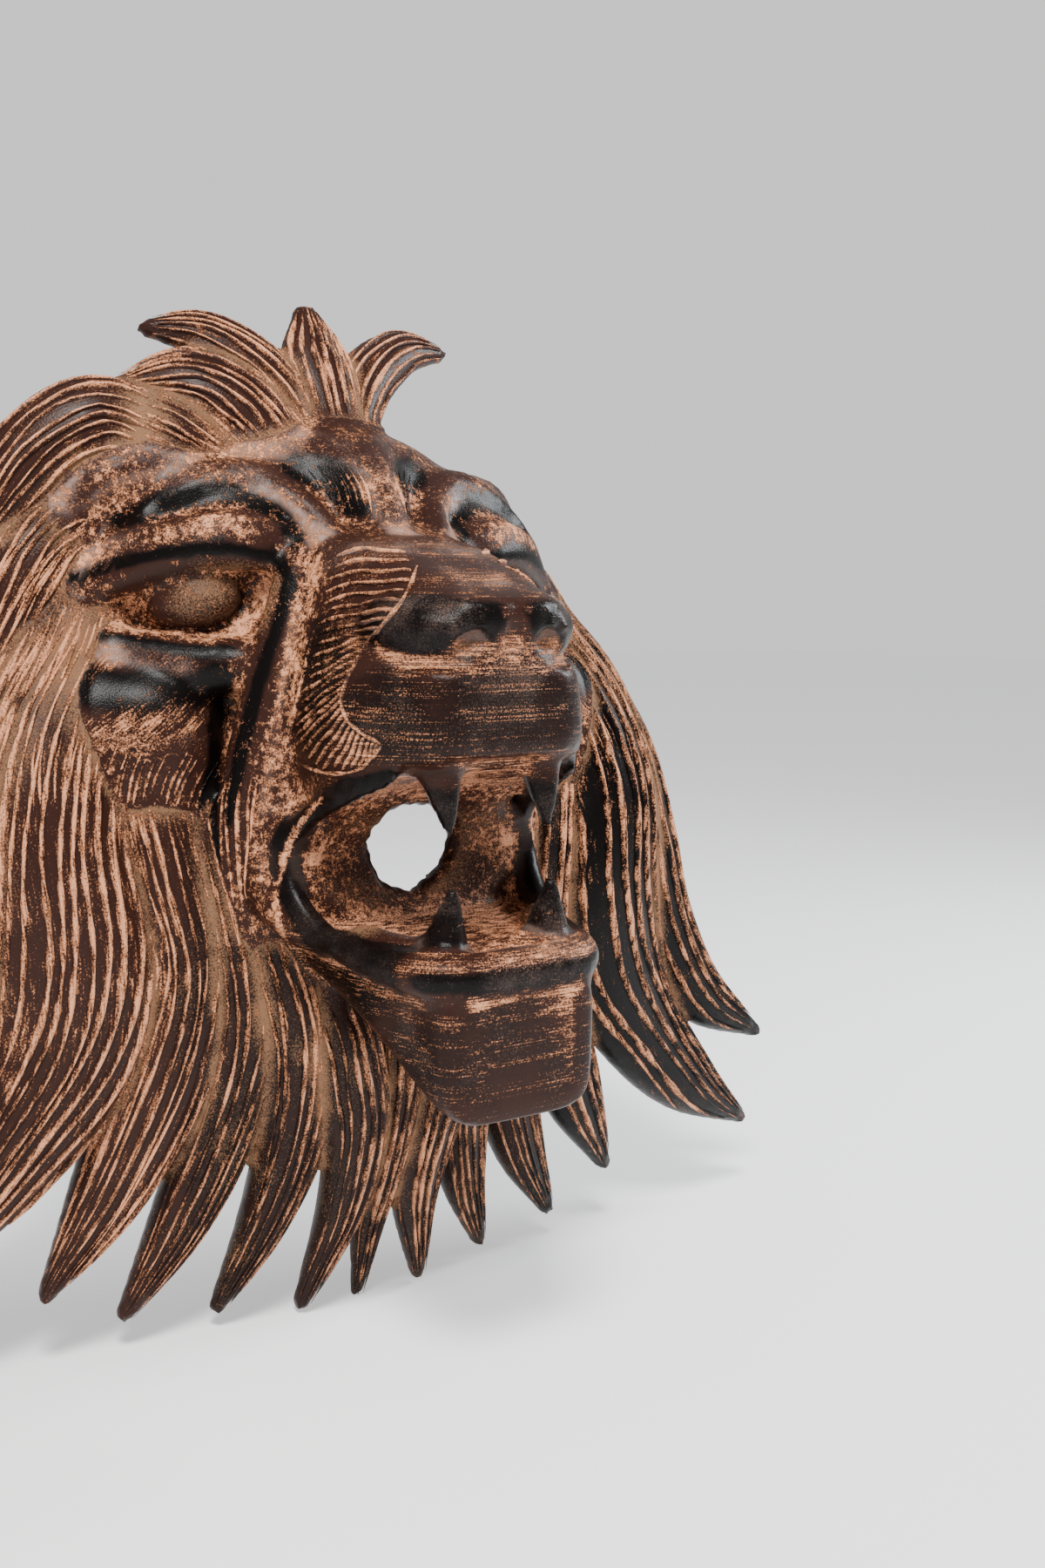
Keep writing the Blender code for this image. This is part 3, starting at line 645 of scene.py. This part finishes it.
def fan_lines():
    """Fine hairs spread between two curves."""
    luck = dice(70)
    lines = []
    for first, last, count in FANS:
        one, other = smooth_run(first), smooth_run(last)
        for number in range(count):
            share = (number + luck.uniform(0.2, 0.8)) / count
            line = one + (other - one) * share
            start = int(luck.uniform(0, 0.3) * len(line))
            end = len(line) - int(luck.uniform(0, 0.3) * len(line))
            lines.append(line[start:end])
    return lines


def on_both_sides(lines):
    return [line * (side, 1, 1) for side in (1, -1) for line in lines]


def lock_lines(lock, side):
    """Lines down a lock, one along the crest of each strand, and the room that each has."""
    luck = dice(100 * lock.seed + 7 * (side + 1))
    lines = []
    thinned = FEWER_FAR_STRANDS if side > 0 and lock.seed < 4 else 1
    count = round(lock.strands * thinned)
    extra = math.ceil(abs(lock.lean) * count / 2)
    for number in range(-extra, count + extra):
        share = ((number + 0.5 + luck.uniform(-0.2, 0.2)) / count * 2 - 1) * 0.96
        first, last = luck.uniform(0.0, 0.1), luck.uniform(0.95, 1.0)
        down = np.linspace(first, last, max(4, int(lock.length * (last - first) / STRAND_STEP)))
        sway = share + lock.lean * (down - 0.5) * ease(down, 1.0, 0.7)
        sway += 0.03 * np.sin(down * 8 + luck.uniform(0, 6)) + 0.02 * np.sin(down * 21 + luck.uniform(0, 6))
        on_lock = np.abs(sway) < 0.98
        if on_lock.sum() > 3:
            points, room = lock.strand_line(sway[on_lock], down[on_lock])
            lines.append((points * (side, 1, 1), room / thinned * luck.uniform(0.6, 1.1)))
    return lines


def level_and_slope(points, reach=0.5):
    """How far each point is from the skin, and the direction straight out of the skin there."""
    shifts = np.vstack([np.zeros(3), np.eye(3) * reach]).astype(np.float32)

    def of_patch(patch):
        values = casting_field((patch + shifts[:, None]).reshape(-1, 3)).reshape(4, -1)
        values[1:] -= values[0]
        return values

    found = by_patches(of_patch, points, 4, 40.0)
    slope = found[:, 1:]
    return found[:, :1], slope / (np.linalg.norm(slope, axis=1)[:, None] + 1e-6)


def draped(lines, reach=3.0, rounds=2):
    """Lines laid on the skin and parted where they would have to leave it, with the skin's directions."""
    sizes = [len(points) for points, _ in lines]
    start = np.vstack([points for points, _ in lines]).astype(np.float32)
    room = np.concatenate([room for _, room in lines])
    points = start.copy()
    for _ in range(rounds):
        level, out = level_and_slope(points)
        points = points - out * np.clip(level, -2.5, 2.5)
    level, out = level_and_slope(points)
    moved = np.linalg.norm(points - start, axis=1)
    good = (np.abs(level[:, 0]) < 0.7) & (moved < reach) & (points[:, 1] > 1.5)
    parts = []
    first = 0
    for size in sizes:
        run = []
        for i in range(first, first + size):
            apart = run and np.linalg.norm(points[i] - points[i - 1]) > 9
            if run and (apart or not good[i]):
                parts.append(run)
                run = []
            if good[i]:
                run.append(i)
        parts.append(run)
        first += size
    return [(points[run], out[run], room[run]) for run in parts if len(run) > 3]


def strand_strips(parts, half_width, height):
    """A thin rounded ridge along each line: points, triangles and how near each point is to a crest."""
    profile = ((-1.0, -0.4), (-0.45, 1.0), (0.45, 1.0), (1.0, -0.4))
    crest = (0.0, 1.0, 1.0, 0.0)
    all_points, all_faces, all_crests = [], [], []
    total = 0
    for points, out, room in parts:
        ahead = np.gradient(points, axis=0)
        ahead /= np.linalg.norm(ahead, axis=1)[:, None] + 1e-6
        aside = np.cross(ahead, out)
        aside /= np.linalg.norm(aside, axis=1)[:, None] + 1e-6
        place = np.arange(len(points))
        taper = ease(np.minimum(place, len(points) - 1 - place), -1.0, 2.5)
        wave = 1 + 0.25 * np.sin(place * 0.9 + room * 7)
        width = np.minimum(half_width, 0.3 * room) * (0.4 + 0.6 * taper) * wave
        tall = np.minimum(height, 0.36 * room) * taper
        rings = [points + aside * (width * x)[:, None] + out * (tall * y)[:, None] for x, y in profile]
        all_points.append(np.stack(rings, 1).reshape(-1, 3))
        all_crests.append(np.tile(crest, len(points)) * np.repeat(taper, 4))
        i = total + 4 * np.arange(len(points) - 1)[:, None] + np.arange(3)
        one, two, three, four = i, i + 1, i + 5, i + 4
        all_faces.append(np.stack([four, three, two], -1).reshape(-1, 3))
        all_faces.append(np.stack([four, two, one], -1).reshape(-1, 3))
        total += 4 * len(points)
    return np.vstack(all_points), np.vstack(all_faces), np.concatenate(all_crests)


# Rub, dust, sheen and black inside the mouth, on the roll of the lips and on the fangs. The sheen here is a
# painted highlight that makes the roll and the fangs read as glossy.
IN_MOUTH = (0.36, 0.5, 0.0, 0.0)
ON_LIP_ROLL = (0.02, 0.0, 0.08, 0.9)
ON_FANGS = (0.18, 0.0, 0.3, 0.7)

# What the paint does in places on the head: centre, half sizes, then how much the spot is rubbed
# with copper, dusty, worn to a soft sheen that is partly a painted highlight, and black, which is
# partly black paint and partly painted shade.
SPOTS = [
    ((62, 78, -2), (46, 26, 17), 0.35, 0.45, 0, 0.2),
    ((72, 58, -6), (17, 14, 11), 0.2, 0.35, 0, 0.5),
    ((100, 40, -60), (34, 26, 26), 0.45, 0, 0.1, 0.3),
    ((38, 160, -12), (12, 26, 12), 0.25, 0, 0.3, 0.8),
    ((20, 180, -22), (22, 14, 7), 0.35, 0.5, 0, 0.3),
    ((40, 168, -48), (30, 34, 22), 0.38, 0, 0.2, 0.5),
    ((0, 192, -46), (44, 12, 24), 0.36, 0, 0.3, 0.5),
    ((56, 120, -30), (12, 22, 46), 0.2, 0.25, 0, 0.5),
    ((0, 176, -184), (52, 34, 30), 0.38, 0, 0.2, 0.5),
    ((50, 120, -160), (20, 44, 22), 0.4, 0.1, 0, 0.6)]


# Where the brush went, and where light and shade are painted, on the near side of the face and,
# mirrored, on the far side: a curve in the photo's pixels, its half width in squares, then rub, dust,
# sheen and black as in SPOTS.
BRUSHED = [
    # Painted highlights along the temple crest, the inner brow crest and the forehead dome.
    ([(40, 600), (67, 567), (110, 540), (167, 522), (213, 532)], 8, 0.42, 0, 0.9, 0),
    ([(200, 562), (235, 546), (262, 541), (300, 553), (333, 577), (367, 617)], 6, 0.42, 0, 1, 0),
    ([(270, 510), (303, 505), (340, 506), (383, 522), (443, 540)], 9, 0.4, 0, 0.9, 0),
    # Painted shade in the hollow under the forehead dome.
    ([(345, 537), (380, 548), (412, 574)], 8, 0.15, 0, 0, 1),
    # Painted highlight on the ridge between the brows.
    ([(423, 560), (445, 588), (463, 613)], 5, 0.45, 0, 1, 0),
    ([(13, 691), (79, 655), (152, 622), (218, 606), (264, 599), (290, 617)], 5, 0.62, 0, 0.7, 0),
    # Painted shade under the brow crest, along the lid's lower edge over the eye and in the crease under the
    # lower lid.
    ([(140, 597), (198, 573), (264, 566), (317, 588), (343, 619)], 5, 0.25, 0, 0, 1),
    ([(79, 665), (132, 648), (198, 634), (264, 630), (317, 641), (331, 662)], 2.6, 0.1, 0, 0, 0.9),
    ([(40, 731), (99, 731), (165, 739), (224, 748), (264, 746)], 3, 0.1, 0, 0, 1),
    ([(13, 705), (79, 711), (145, 721), (211, 731), (264, 728), (297, 700), (311, 660)], 4, 0.7, 0.2, 0,
     0),
    ([(66, 784), (132, 790), (198, 790), (244, 784)], 10, 0.3, 0, 0, 0.9),
    # Painted highlight along the top edge of the cheek plane.
    ([(52, 757), (119, 748), (172, 754), (218, 765)], 4, 0.35, 0, 0.9, 0.2),
    ([(40, 832), (99, 843), (165, 843), (205, 832)], 9, 0.6, 0, 0, 0.2),
    ([(333, 668), (322, 713), (303, 762), (287, 820), (272, 880), (263, 940)], 3.2, 0.3, 0, 0, 1),
    ([(341, 700), (328, 760), (312, 830), (303, 900), (294, 960), (296, 1020), (303, 1058)], 3, 0.6, 0.1,
     0.2, 0),
    # Painted shade in the groove beside the ribbon.
    ([(252, 790), (248, 850), (240, 920), (243, 985)], 5, 0, 0, 0, 1),
    ([(366, 640), (354, 700), (344, 760), (335, 815)], 3, 0.62, 0.1, 0, 0),
    # Painted highlight on the top of the nose and its bridge.
    ([(396, 634), (462, 627), (528, 640), (575, 672), (612, 684)], 9, 0.42, 0, 1, 0),
    # Painted shade in the crease along the side of the nose, with a painted highlight.
    ([(478, 690), (528, 706), (575, 706)], 6, 0.25, 0, 0.5, 0.9),
    ([(447, 729), (488, 736), (528, 730), (556, 722)], 6, 0.15, 0, 0.3, 1),
    ([(436, 746), (475, 758), (521, 754), (548, 749)], 2.5, 0.85, 0.3, 0, 0),
    # A painted highlight, in copper, along the edge of the septum.
    ([(609, 699), (602, 720), (595, 743)], 1.2, 0.6, 0, 0, 0),
    ([(462, 768), (528, 765), (594, 755), (640, 747)], 5, 0.62, 0, 0.3, 0.3),
    # Painted highlight, with copper strokes, on the top face of the lower lip.
    ([(490, 1104), (560, 1100), (630, 1092), (688, 1084)], 6, 0.55, 0, 0.9, 0),
    ([(484, 1130), (560, 1130), (630, 1118), (690, 1108)], 4, 0.25, 0, 0.3, 1),
    ([(536, 1152), (610, 1147), (688, 1131)], 1.8, 0.9, 0, 0, 0),
    ([(370, 912), (345, 944), (326, 985), (317, 1030), (324, 1075), (350, 1112), (392, 1142)], 2, 0.85, 0,
     0, 0),
    ([(545, 1066), (580, 1078), (618, 1064)], 7, 0.8, 0.1, 0.2, 0)]


def brushed_rods():
    """The brushed curves on the skin, folded onto one side, each with its half width and paint."""
    rods = []
    runs = placed([smooth_run(line, 3) for line, *_ in BRUSHED])
    for run, (_, reach, *values) in zip(runs, BRUSHED):
        steps = np.linalg.norm(np.diff(run, axis=0), axis=1)
        run = run[:1 + np.argmax(np.append(steps > 16, True))]
        run = np.column_stack([np.abs(run[:, 0]), run[:, 1:], np.zeros(len(run))])
        if len(run) > 2:
            rods.append((Rod(run, 1), reach, values))
    return rods


def face_grain(left):
    """How the brush went over the face: level strokes on the muzzle and chin, slanting ones on the
    cheek, and none elsewhere."""
    side, forward, up = left.T
    even = np.stack([side, forward, up]) * 0.4
    level = np.stack([up * 1.7, (side + forward) * 0.14, side * 0])
    slanting = np.stack([up + side * 0.8, (side - up) * 0.08, side * 0])
    blunt = (forward > 128) | ((up < -140) & (forward > 100))
    cheek = (side > 70) & (forward < 78) & (up < -24) & (up > -62)
    return np.where(blunt, level, np.where(cheek, slanting, even))


def lay_over(masks, values, share):
    """Brings the masks toward the values by a share from 0 to 1 at each point."""
    masks += (np.array(values)[:, None] - masks) * share


def describe(points, brushed):
    """What is at each point of the skin: the paint's grain as (across, along, side), then the masks
    rub, dust, sheen (worn paint and a painted highlight) and dark (black paint and painted shade),
    then how deep the spot lies in a joint between two forms."""
    work = Sculpture(points)
    left = work.left
    count = len(points)
    nearest = np.full(count, FAR, np.float32)
    second = np.full(count, FAR, np.float32)
    grain = np.zeros((3, count), np.float32)
    for lock in LOCKS:
        found, _ = work.near(lock, 8)
        if found is None:
            continue
        closer = found < nearest
        second = np.where(closer, nearest, np.minimum(second, found))
        nearest = np.where(closer, found, nearest)
        if closer.any():
            across, _, _, _, _, down = lock.places(left[closer])
            grain[:, closer] = (across, down * lock.length * 0.1, np.full(len(across), lock.seed))
    head = head_field(work)
    is_hair = head > nearest
    joint = np.abs(np.where(is_hair, np.minimum(second, head), nearest) - np.minimum(head, nearest))
    grain = np.where(is_hair, grain, face_grain(left))
    masks = np.zeros((4, count), np.float32)
    # Painted shade on the mane: the zone below the cheek gets less copper, more dust and more black, and the
    # far side of the mane gets more black, because those locks turn away from the light.
    shaded = ease(left[:, 0], 116, 84) * ease(left[:, 2], -70, -110)
    masks[0] = np.where(is_hair, 0.25 - 0.12 * shaded, 0.3)
    masks[1] = np.where(is_hair, np.maximum(ease(joint, 9, 1) * 0.7, 0.1 + 0.15 * shaded), 0.12)
    masks[3] = is_hair * np.maximum(ease(points[:, 0], 60, 120) * 0.9, shaded * 0.4)
    for centre, size, *values in SPOTS:
        lay_over(masks, values, ease((((left - centre) / size) ** 2).sum(1), 1.5, 0.5) * ~is_hair)
    mouth, _ = work.near(MOUTH, 8)
    if mouth is not None:
        lay_over(masks, IN_MOUTH, ease(mouth, 2.5, -0.5) * ease(left[:, 1], 162, 146))
    rim, _ = work.near(LIP_ROLL, 4)
    if rim is not None:
        lay_over(masks, ON_LIP_ROLL, ease(rim, 2.2, 0.6) * ease(left[:, 1], 178, 168))
    for fang in FANGS:
        tooth, _ = work.near(fang, 3)
        if tooth is not None:
            bare = ease(left[:, 2], -146, -140) * ease(left[:, 2], -74, -80)
            lay_over(masks, ON_FANGS, ease(tooth, 2.0, 0.5) * bare)
    for rod, reach, values in brushed:
        away, _ = work.near(rod, 2 * reach)
        if away is not None:
            lay_over(masks, values, ease(away, 1.5 * reach, 0.5 * reach) * ~is_hair)
    return np.vstack([grain, masks, ease(joint, 3.0, 0.0)[None]])


def carved_skin(triangles):
    """The casting's skin without its strands, as a mesh of about so many triangles."""
    points, faces = skin_of(sample_field(casting_field, LOW, HIGH, GRAIN))
    mesh = mesh_from(points * GRAIN + LOW, faces, "skin")
    mesh = with_modifier(mesh, "SUBSURF", levels=1, render_levels=1)
    points = read_points(mesh)
    normals = read_normals(mesh)
    off = by_patches(casting_field, points, 1)
    points = points - normals * np.clip(off, -1.5, 1.5) * 0.9
    joint = by_patches(lambda patch: describe(patch, []), points, 8)[:, 7]
    front = ease(points[:, 1], 1.0, 6.0) * (1 - behind(points))
    points = points - normals * (joint * front)[:, None]
    mesh.vertices.foreach_set("co", to_metres(points).astype(np.float32).ravel())
    mesh.update()
    mesh = with_modifier(mesh, "TRIANGULATE")
    return with_modifier(mesh, "DECIMATE", ratio=min(1.0, triangles / len(mesh.polygons)))


def behind(points):
    """1 on the skin of the hollow back."""
    hollow = by_patches(lambda patch: hollow_field(Sculpture(patch)), points, 1)[:, 0]
    return ease(np.abs(hollow), 2.5, 1.0)


def all_strands():
    """The strands of the mane and the ribbon, the ridges of the whisker pads and the face's fine lines."""
    lines = []
    for lock in LOCKS:
        for side in ((lock.only,) if lock.only else (1, -1)):
            lines += lock_lines(lock, side)
    for side in (1, -1):
        for points, room in lock_lines(RIBBON, side):
            low = points[:, 2] < STRANDS_BELOW
            lines.append((points[low], room[low]))
    mane = strand_strips(draped(lines), STRAND_HALF_WIDTH, STRAND_HEIGHT)
    whiskers, hairs = whisker_lines(), fan_lines()
    borders = [smooth_run(line, 8) for line in FACE_LINES]
    lines = placed(whiskers + hairs + borders)
    groups = [mane]
    start = 0
    for kind, half_width, height in ((whiskers, 1.0, 1.0), (hairs, 0.7, 0.6), (borders, 0.9, 0.9)):
        some = on_both_sides(lines[start:start + len(kind)])
        start += len(kind)
        some = [(line, np.full(len(line), 3.2)) for line in some]
        groups.append(strand_strips(draped(some, 6.0), half_width, height))
    return joined(groups)


def joined(groups):
    """Several sets of points, triangles and values at the points as one."""
    shift = np.cumsum([0] + [len(points) for points, _, _ in groups])
    faces = [triangles + start for (_, triangles, _), start in zip(groups, shift)]
    return (np.vstack([points for points, _, _ in groups]), np.vstack(faces),
            np.concatenate([values for _, _, values in groups]))


def carve_casting():
    """The whole visible casting as one mesh, with what its paint reads at each point."""
    strands = all_strands()
    skin = carved_skin(TRIANGLES - len(strands[1]))
    points = read_points(skin)
    corners = np.empty(len(skin.polygons) * 3, np.int32)
    skin.loops.foreach_get("vertex_index", corners)
    points, faces, crest = joined([(points, corners.reshape(-1, 3), np.zeros(len(points))), strands])
    points = keep_in_box(points)
    mesh = mesh_from(points, faces, "lion_casting")
    mesh.shade_smooth()
    brushed = brushed_rods()
    found = by_patches(lambda patch: describe(patch, brushed), points, 8)
    height = raised_above(mesh, points, read_normals(mesh))
    set_attribute(mesh, "grain", "FLOAT_VECTOR", "vector", found[:, :3])
    set_attribute(mesh, "masks", "FLOAT_COLOR", "color", found[:, 3:7])
    set_attribute(mesh, "crest", "FLOAT", "value", crest)
    set_attribute(mesh, "raised", "FLOAT", "value", height)
    set_attribute(mesh, "back", "FLOAT", "value", behind(points))
    return mesh


def keep_in_box(points):
    low, high = to_squares(np.array([low_corner, high_corner], float))
    return np.clip(points, np.minimum(low, high), np.maximum(low, high))


def set_attribute(mesh, name, kind, field, values):
    attribute = mesh.attributes.new(name, kind, "POINT")
    attribute.data.foreach_set(field, np.asarray(values, np.float32).ravel())


def raised_above(mesh, points, normals, rounds=36):
    """How far each point stands above the skin smoothed over its neighbours, in squares."""
    edges = np.empty(len(mesh.edges) * 2, np.int32)
    mesh.edges.foreach_get("vertices", edges)
    start, end = edges.reshape(-1, 2).T
    ends = np.concatenate([start, end])
    others = np.concatenate([end, start])
    count = np.maximum(np.bincount(ends, minlength=len(points)), 1)[:, None]
    smooth = points.astype(float)
    for _ in range(rounds):
        total = np.stack([np.bincount(ends, smooth[others, a], len(points)) for a in range(3)], 1)
        smooth = total / count
    return ((points - smooth) * normals).sum(1)


def camera_view():
    """The photo's camera."""
    place, right, up, look = photo_frame()
    data = bpy.data.cameras.new("photo_camera")
    data.sensor_width = 36
    data.lens = PHOTO_FOCUS / PHOTO_HEIGHT * data.sensor_width
    camera = bpy.data.objects.new("photo_camera", data)
    turn = Matrix((right, up, -look)).transposed()
    camera.matrix_world = Matrix.Translation(place) @ turn.to_4x4()
    bpy.context.scene.collection.objects.link(camera)
    bpy.context.scene.camera = camera


def soft_light(name, place, size, power, colour=(1, 1, 1)):
    data = bpy.data.lights.new(name, "AREA")
    data.size = size
    data.energy = power
    data.color = colour
    light = bpy.data.objects.new(name, data)
    light.location = place
    aim = Vector((0, -0.09, -0.17)) - Vector(place)
    light.rotation_euler = aim.to_track_quat("-Z", "Y").to_euler()
    bpy.context.scene.collection.objects.link(light)


# How bright the surroundings light the piece and show behind it, and the floor's half size and glow.
SKY_LIGHT, SKY_SEEN = 0.45, 0.95
FLOOR_HALF, FLOOR_GLOW = 6.0, 0.5


def studio():
    world = bpy.data.worlds.new("studio")
    world.use_nodes = True
    tree = world.node_tree
    background = tree.nodes["Background"]
    background.inputs["Color"].default_value = (1, 1, 1, 1)
    seen = tree.nodes.new("ShaderNodeLightPath")
    strength = tree.nodes.new("ShaderNodeMapRange")
    strength.inputs["To Min"].default_value = SKY_LIGHT
    strength.inputs["To Max"].default_value = SKY_SEEN
    tree.links.new(seen.outputs["Is Camera Ray"], strength.inputs["Value"])
    tree.links.new(strength.outputs["Result"], background.inputs["Strength"])
    bpy.context.scene.world = world
    soft_light("key", (-0.5, -0.9, 1.1), 0.4, 42, (1.0, 0.98, 0.95))
    soft_light("right", (1.2, -0.3, 0.4), 0.5, 18, (0.93, 0.97, 1.0))
    mesh = bpy.data.meshes.new("floor")
    sides = ((-1, -1), (1, -1), (1, 1), (-1, 1))
    mesh.from_pydata([(x * FLOOR_HALF, y * FLOOR_HALF, low_corner.z) for x, y in sides], [], [(0, 1, 2, 3)])
    floor = bpy.data.objects.new("floor", mesh)
    bpy.context.scene.collection.objects.link(floor)
    material = bpy.data.materials.new("pale_floor")
    material.use_nodes = True
    shader = material.node_tree.nodes["Principled BSDF"]
    shader.inputs["Base Color"].default_value = (0.93, 0.94, 0.95, 1)
    shader.inputs["Roughness"].default_value = 0.9
    shader.inputs["Emission Color"].default_value = (1, 1, 1, 1)
    shader.inputs["Emission Strength"].default_value = FLOOR_GLOW
    mesh.materials.append(material)


class Paint:
    """Makes and links the shader nodes of one material."""

    def __init__(self, name):
        self.material = bpy.data.materials.new(name)
        self.material.use_nodes = True
        self.tree = self.material.node_tree
        self.shader = self.tree.nodes["Principled BSDF"]

    def node(self, kind, inputs=(), **settings):
        node = self.tree.nodes.new("ShaderNode" + kind)
        for key, value in settings.items():
            setattr(node, key, value)
        for key, value in dict(inputs).items():
            self.feed(node.inputs[key], value)
        return node

    def feed(self, socket, value):
        if isinstance(value, bpy.types.NodeSocket):
            self.tree.links.new(value, socket)
        else:
            socket.default_value = value

    def sums(self, kind, *values):
        node = self.node("Math", operation=kind)
        for socket, value in zip(node.inputs, values):
            self.feed(socket, value)
        return node.outputs[0]

    def total(self, first, *others):
        for other in others:
            first = self.sums("ADD", first, other)
        return first

    def around(self, value, weight):
        """A noise value as plus or minus half the weight."""
        return self.sums("MULTIPLY_ADD", value, weight, -0.5 * weight)

    def step(self, value, start, end):
        node = self.node("MapRange", interpolation_type="SMOOTHSTEP")
        for key, part in (("Value", value), ("From Min", start), ("From Max", end)):
            self.feed(node.inputs[key], part)
        return node.outputs["Result"]

    def mix(self, share, one, two, kind="RGBA"):
        node = self.node("Mix", data_type=kind)
        for key, value in (("Factor", share), ("A", one), ("B", two)):
            self.feed(node.inputs[key], value)
        return node.outputs["Result"]

    def noise(self, vector, scale, detail=2.0, rough=0.55):
        node = self.node("TexNoise", {"Vector": vector, "Scale": scale, "Detail": detail, "Roughness": rough})
        return node.outputs[0]

    def attribute(self, name, output="Fac"):
        return self.node("Attribute", attribute_name=name).outputs[output]


# Black serves for black paint and for painted shade.
BLACK = (0.003, 0.002, 0.002, 1)
BROWN = (0.028, 0.011, 0.008, 1)
DEEP_COPPER = (0.22, 0.085, 0.038, 1)
COPPER = (0.68, 0.31, 0.17, 1)
DUST = (0.21, 0.11, 0.06, 1)
# Pale pinkish grey: paint worn thin, and a painted highlight on the crests.
WORN_AND_HIGHLIGHT = (0.42, 0.28, 0.235, 1)

GLOSSY, BRUSHED_ROUGH, DUSTY_ROUGH = 0.28, 0.5, 0.85

# The scales of the paint's noises, and how much each thing counts toward copper.
STROKES_SCALE, BANDS_SCALE = 0.9, 0.13
SPECK_SCALE, PATCH_SCALE = 1.3 / SQUARE, 0.045 / SQUARE
BY_CREST, BY_HEIGHT, BY_DARK = 0.32, 0.36, -0.2
BY_STROKES, BY_SPECK, BY_PATCH, BY_BANDS = 1.9, 1.7, 0.7, 0.8


def painted_metal():
    """Dark brown paint, copper brushed over what stands out, worn crests with a painted highlight, dusty
    hollows, and black paint that also stands for painted shade.
    """
    paint = Paint("painted_casting")
    place = paint.node("TexCoord").outputs["Object"]
    masks = paint.node("SeparateColor", {"Color": paint.attribute("masks", "Color")})
    rub, dust, sheen = masks.outputs
    dark = paint.attribute("masks", "Alpha")
    crest = paint.attribute("crest")
    raised = paint.attribute("raised")
    strokes = paint.noise(paint.attribute("grain", "Vector"), STROKES_SCALE, 3.0)
    speck = paint.noise(place, SPECK_SCALE, 2.0, 0.6)
    patch = paint.noise(place, PATCH_SCALE, 3.0)

    height = paint.step(raised, -1.2, 2.2)
    bands = paint.noise(paint.attribute("grain", "Vector"), BANDS_SCALE, 1.0)
    value = paint.total(rub, paint.sums("MULTIPLY", crest, BY_CREST),
                        paint.sums("MULTIPLY", height, BY_HEIGHT),
                        paint.around(strokes, BY_STROKES), paint.around(speck, BY_SPECK),
                        paint.around(patch, BY_PATCH), paint.around(bands, BY_BANDS),
                        paint.sums("MULTIPLY", dark, BY_DARK))
    copper = paint.step(value, 0.5, 0.74)
    bright = paint.step(value, 0.66, 1.2)
    dusty = paint.step(paint.total(dust, paint.around(speck, 1.2), paint.around(patch, 0.8),
                                   paint.sums("MULTIPLY", height, -0.2)), 0.25, 0.8)
    # Pale where the sheen mask is set and the skin stands raised: partly paint worn thin, partly a painted
    # highlight on the crests.
    worn_and_highlight = paint.sums("MULTIPLY", sheen, paint.step(paint.total(height, paint.around(patch, 1.2),
                                                                paint.around(speck, 0.8)), -0.1, 0.7))
    # Black where the dark mask is set: black paint on the lip roll, nose and fangs, and painted shade in
    # creases, hollows and on the far side of the mane.
    base = paint.mix(paint.step(paint.total(dark, paint.around(patch, 1.0)), 0.0, 0.7), BROWN, BLACK)
    base = paint.mix(paint.sums("MULTIPLY", worn_and_highlight, 0.8), base, WORN_AND_HIGHLIGHT)
    base = paint.mix(dusty, base, DUST)
    base = paint.mix(copper, base, paint.mix(bright, DEEP_COPPER, COPPER))
    paint.feed(paint.shader.inputs["Base Color"], base)
    paint.shader.inputs["Specular IOR Level"].default_value = 0.1
    roughness = paint.mix(copper, GLOSSY, BRUSHED_ROUGH, "FLOAT")
    roughness = paint.mix(dusty, roughness, DUSTY_ROUGH, "FLOAT")
    paint.feed(paint.shader.inputs["Roughness"], roughness)
    grainy = paint.total(paint.sums("MULTIPLY", copper, 0.5), paint.sums("MULTIPLY", speck, 0.6),
                         paint.sums("MULTIPLY", strokes, 0.4))
    bump = paint.node("Bump", {"Height": grainy, "Strength": 0.5, "Distance": 0.45 * SQUARE})
    paint.feed(paint.shader.inputs["Normal"], bump.outputs["Normal"])
    return paint.material


def main():
    mesh = carve_casting()
    casting = bpy.data.objects.new("lion_casting", mesh)
    bpy.context.scene.collection.objects.link(casting)
    mesh.materials.append(painted_metal())
    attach(casting, "root")
    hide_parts(NODE)
    studio()
    camera_view()


main()
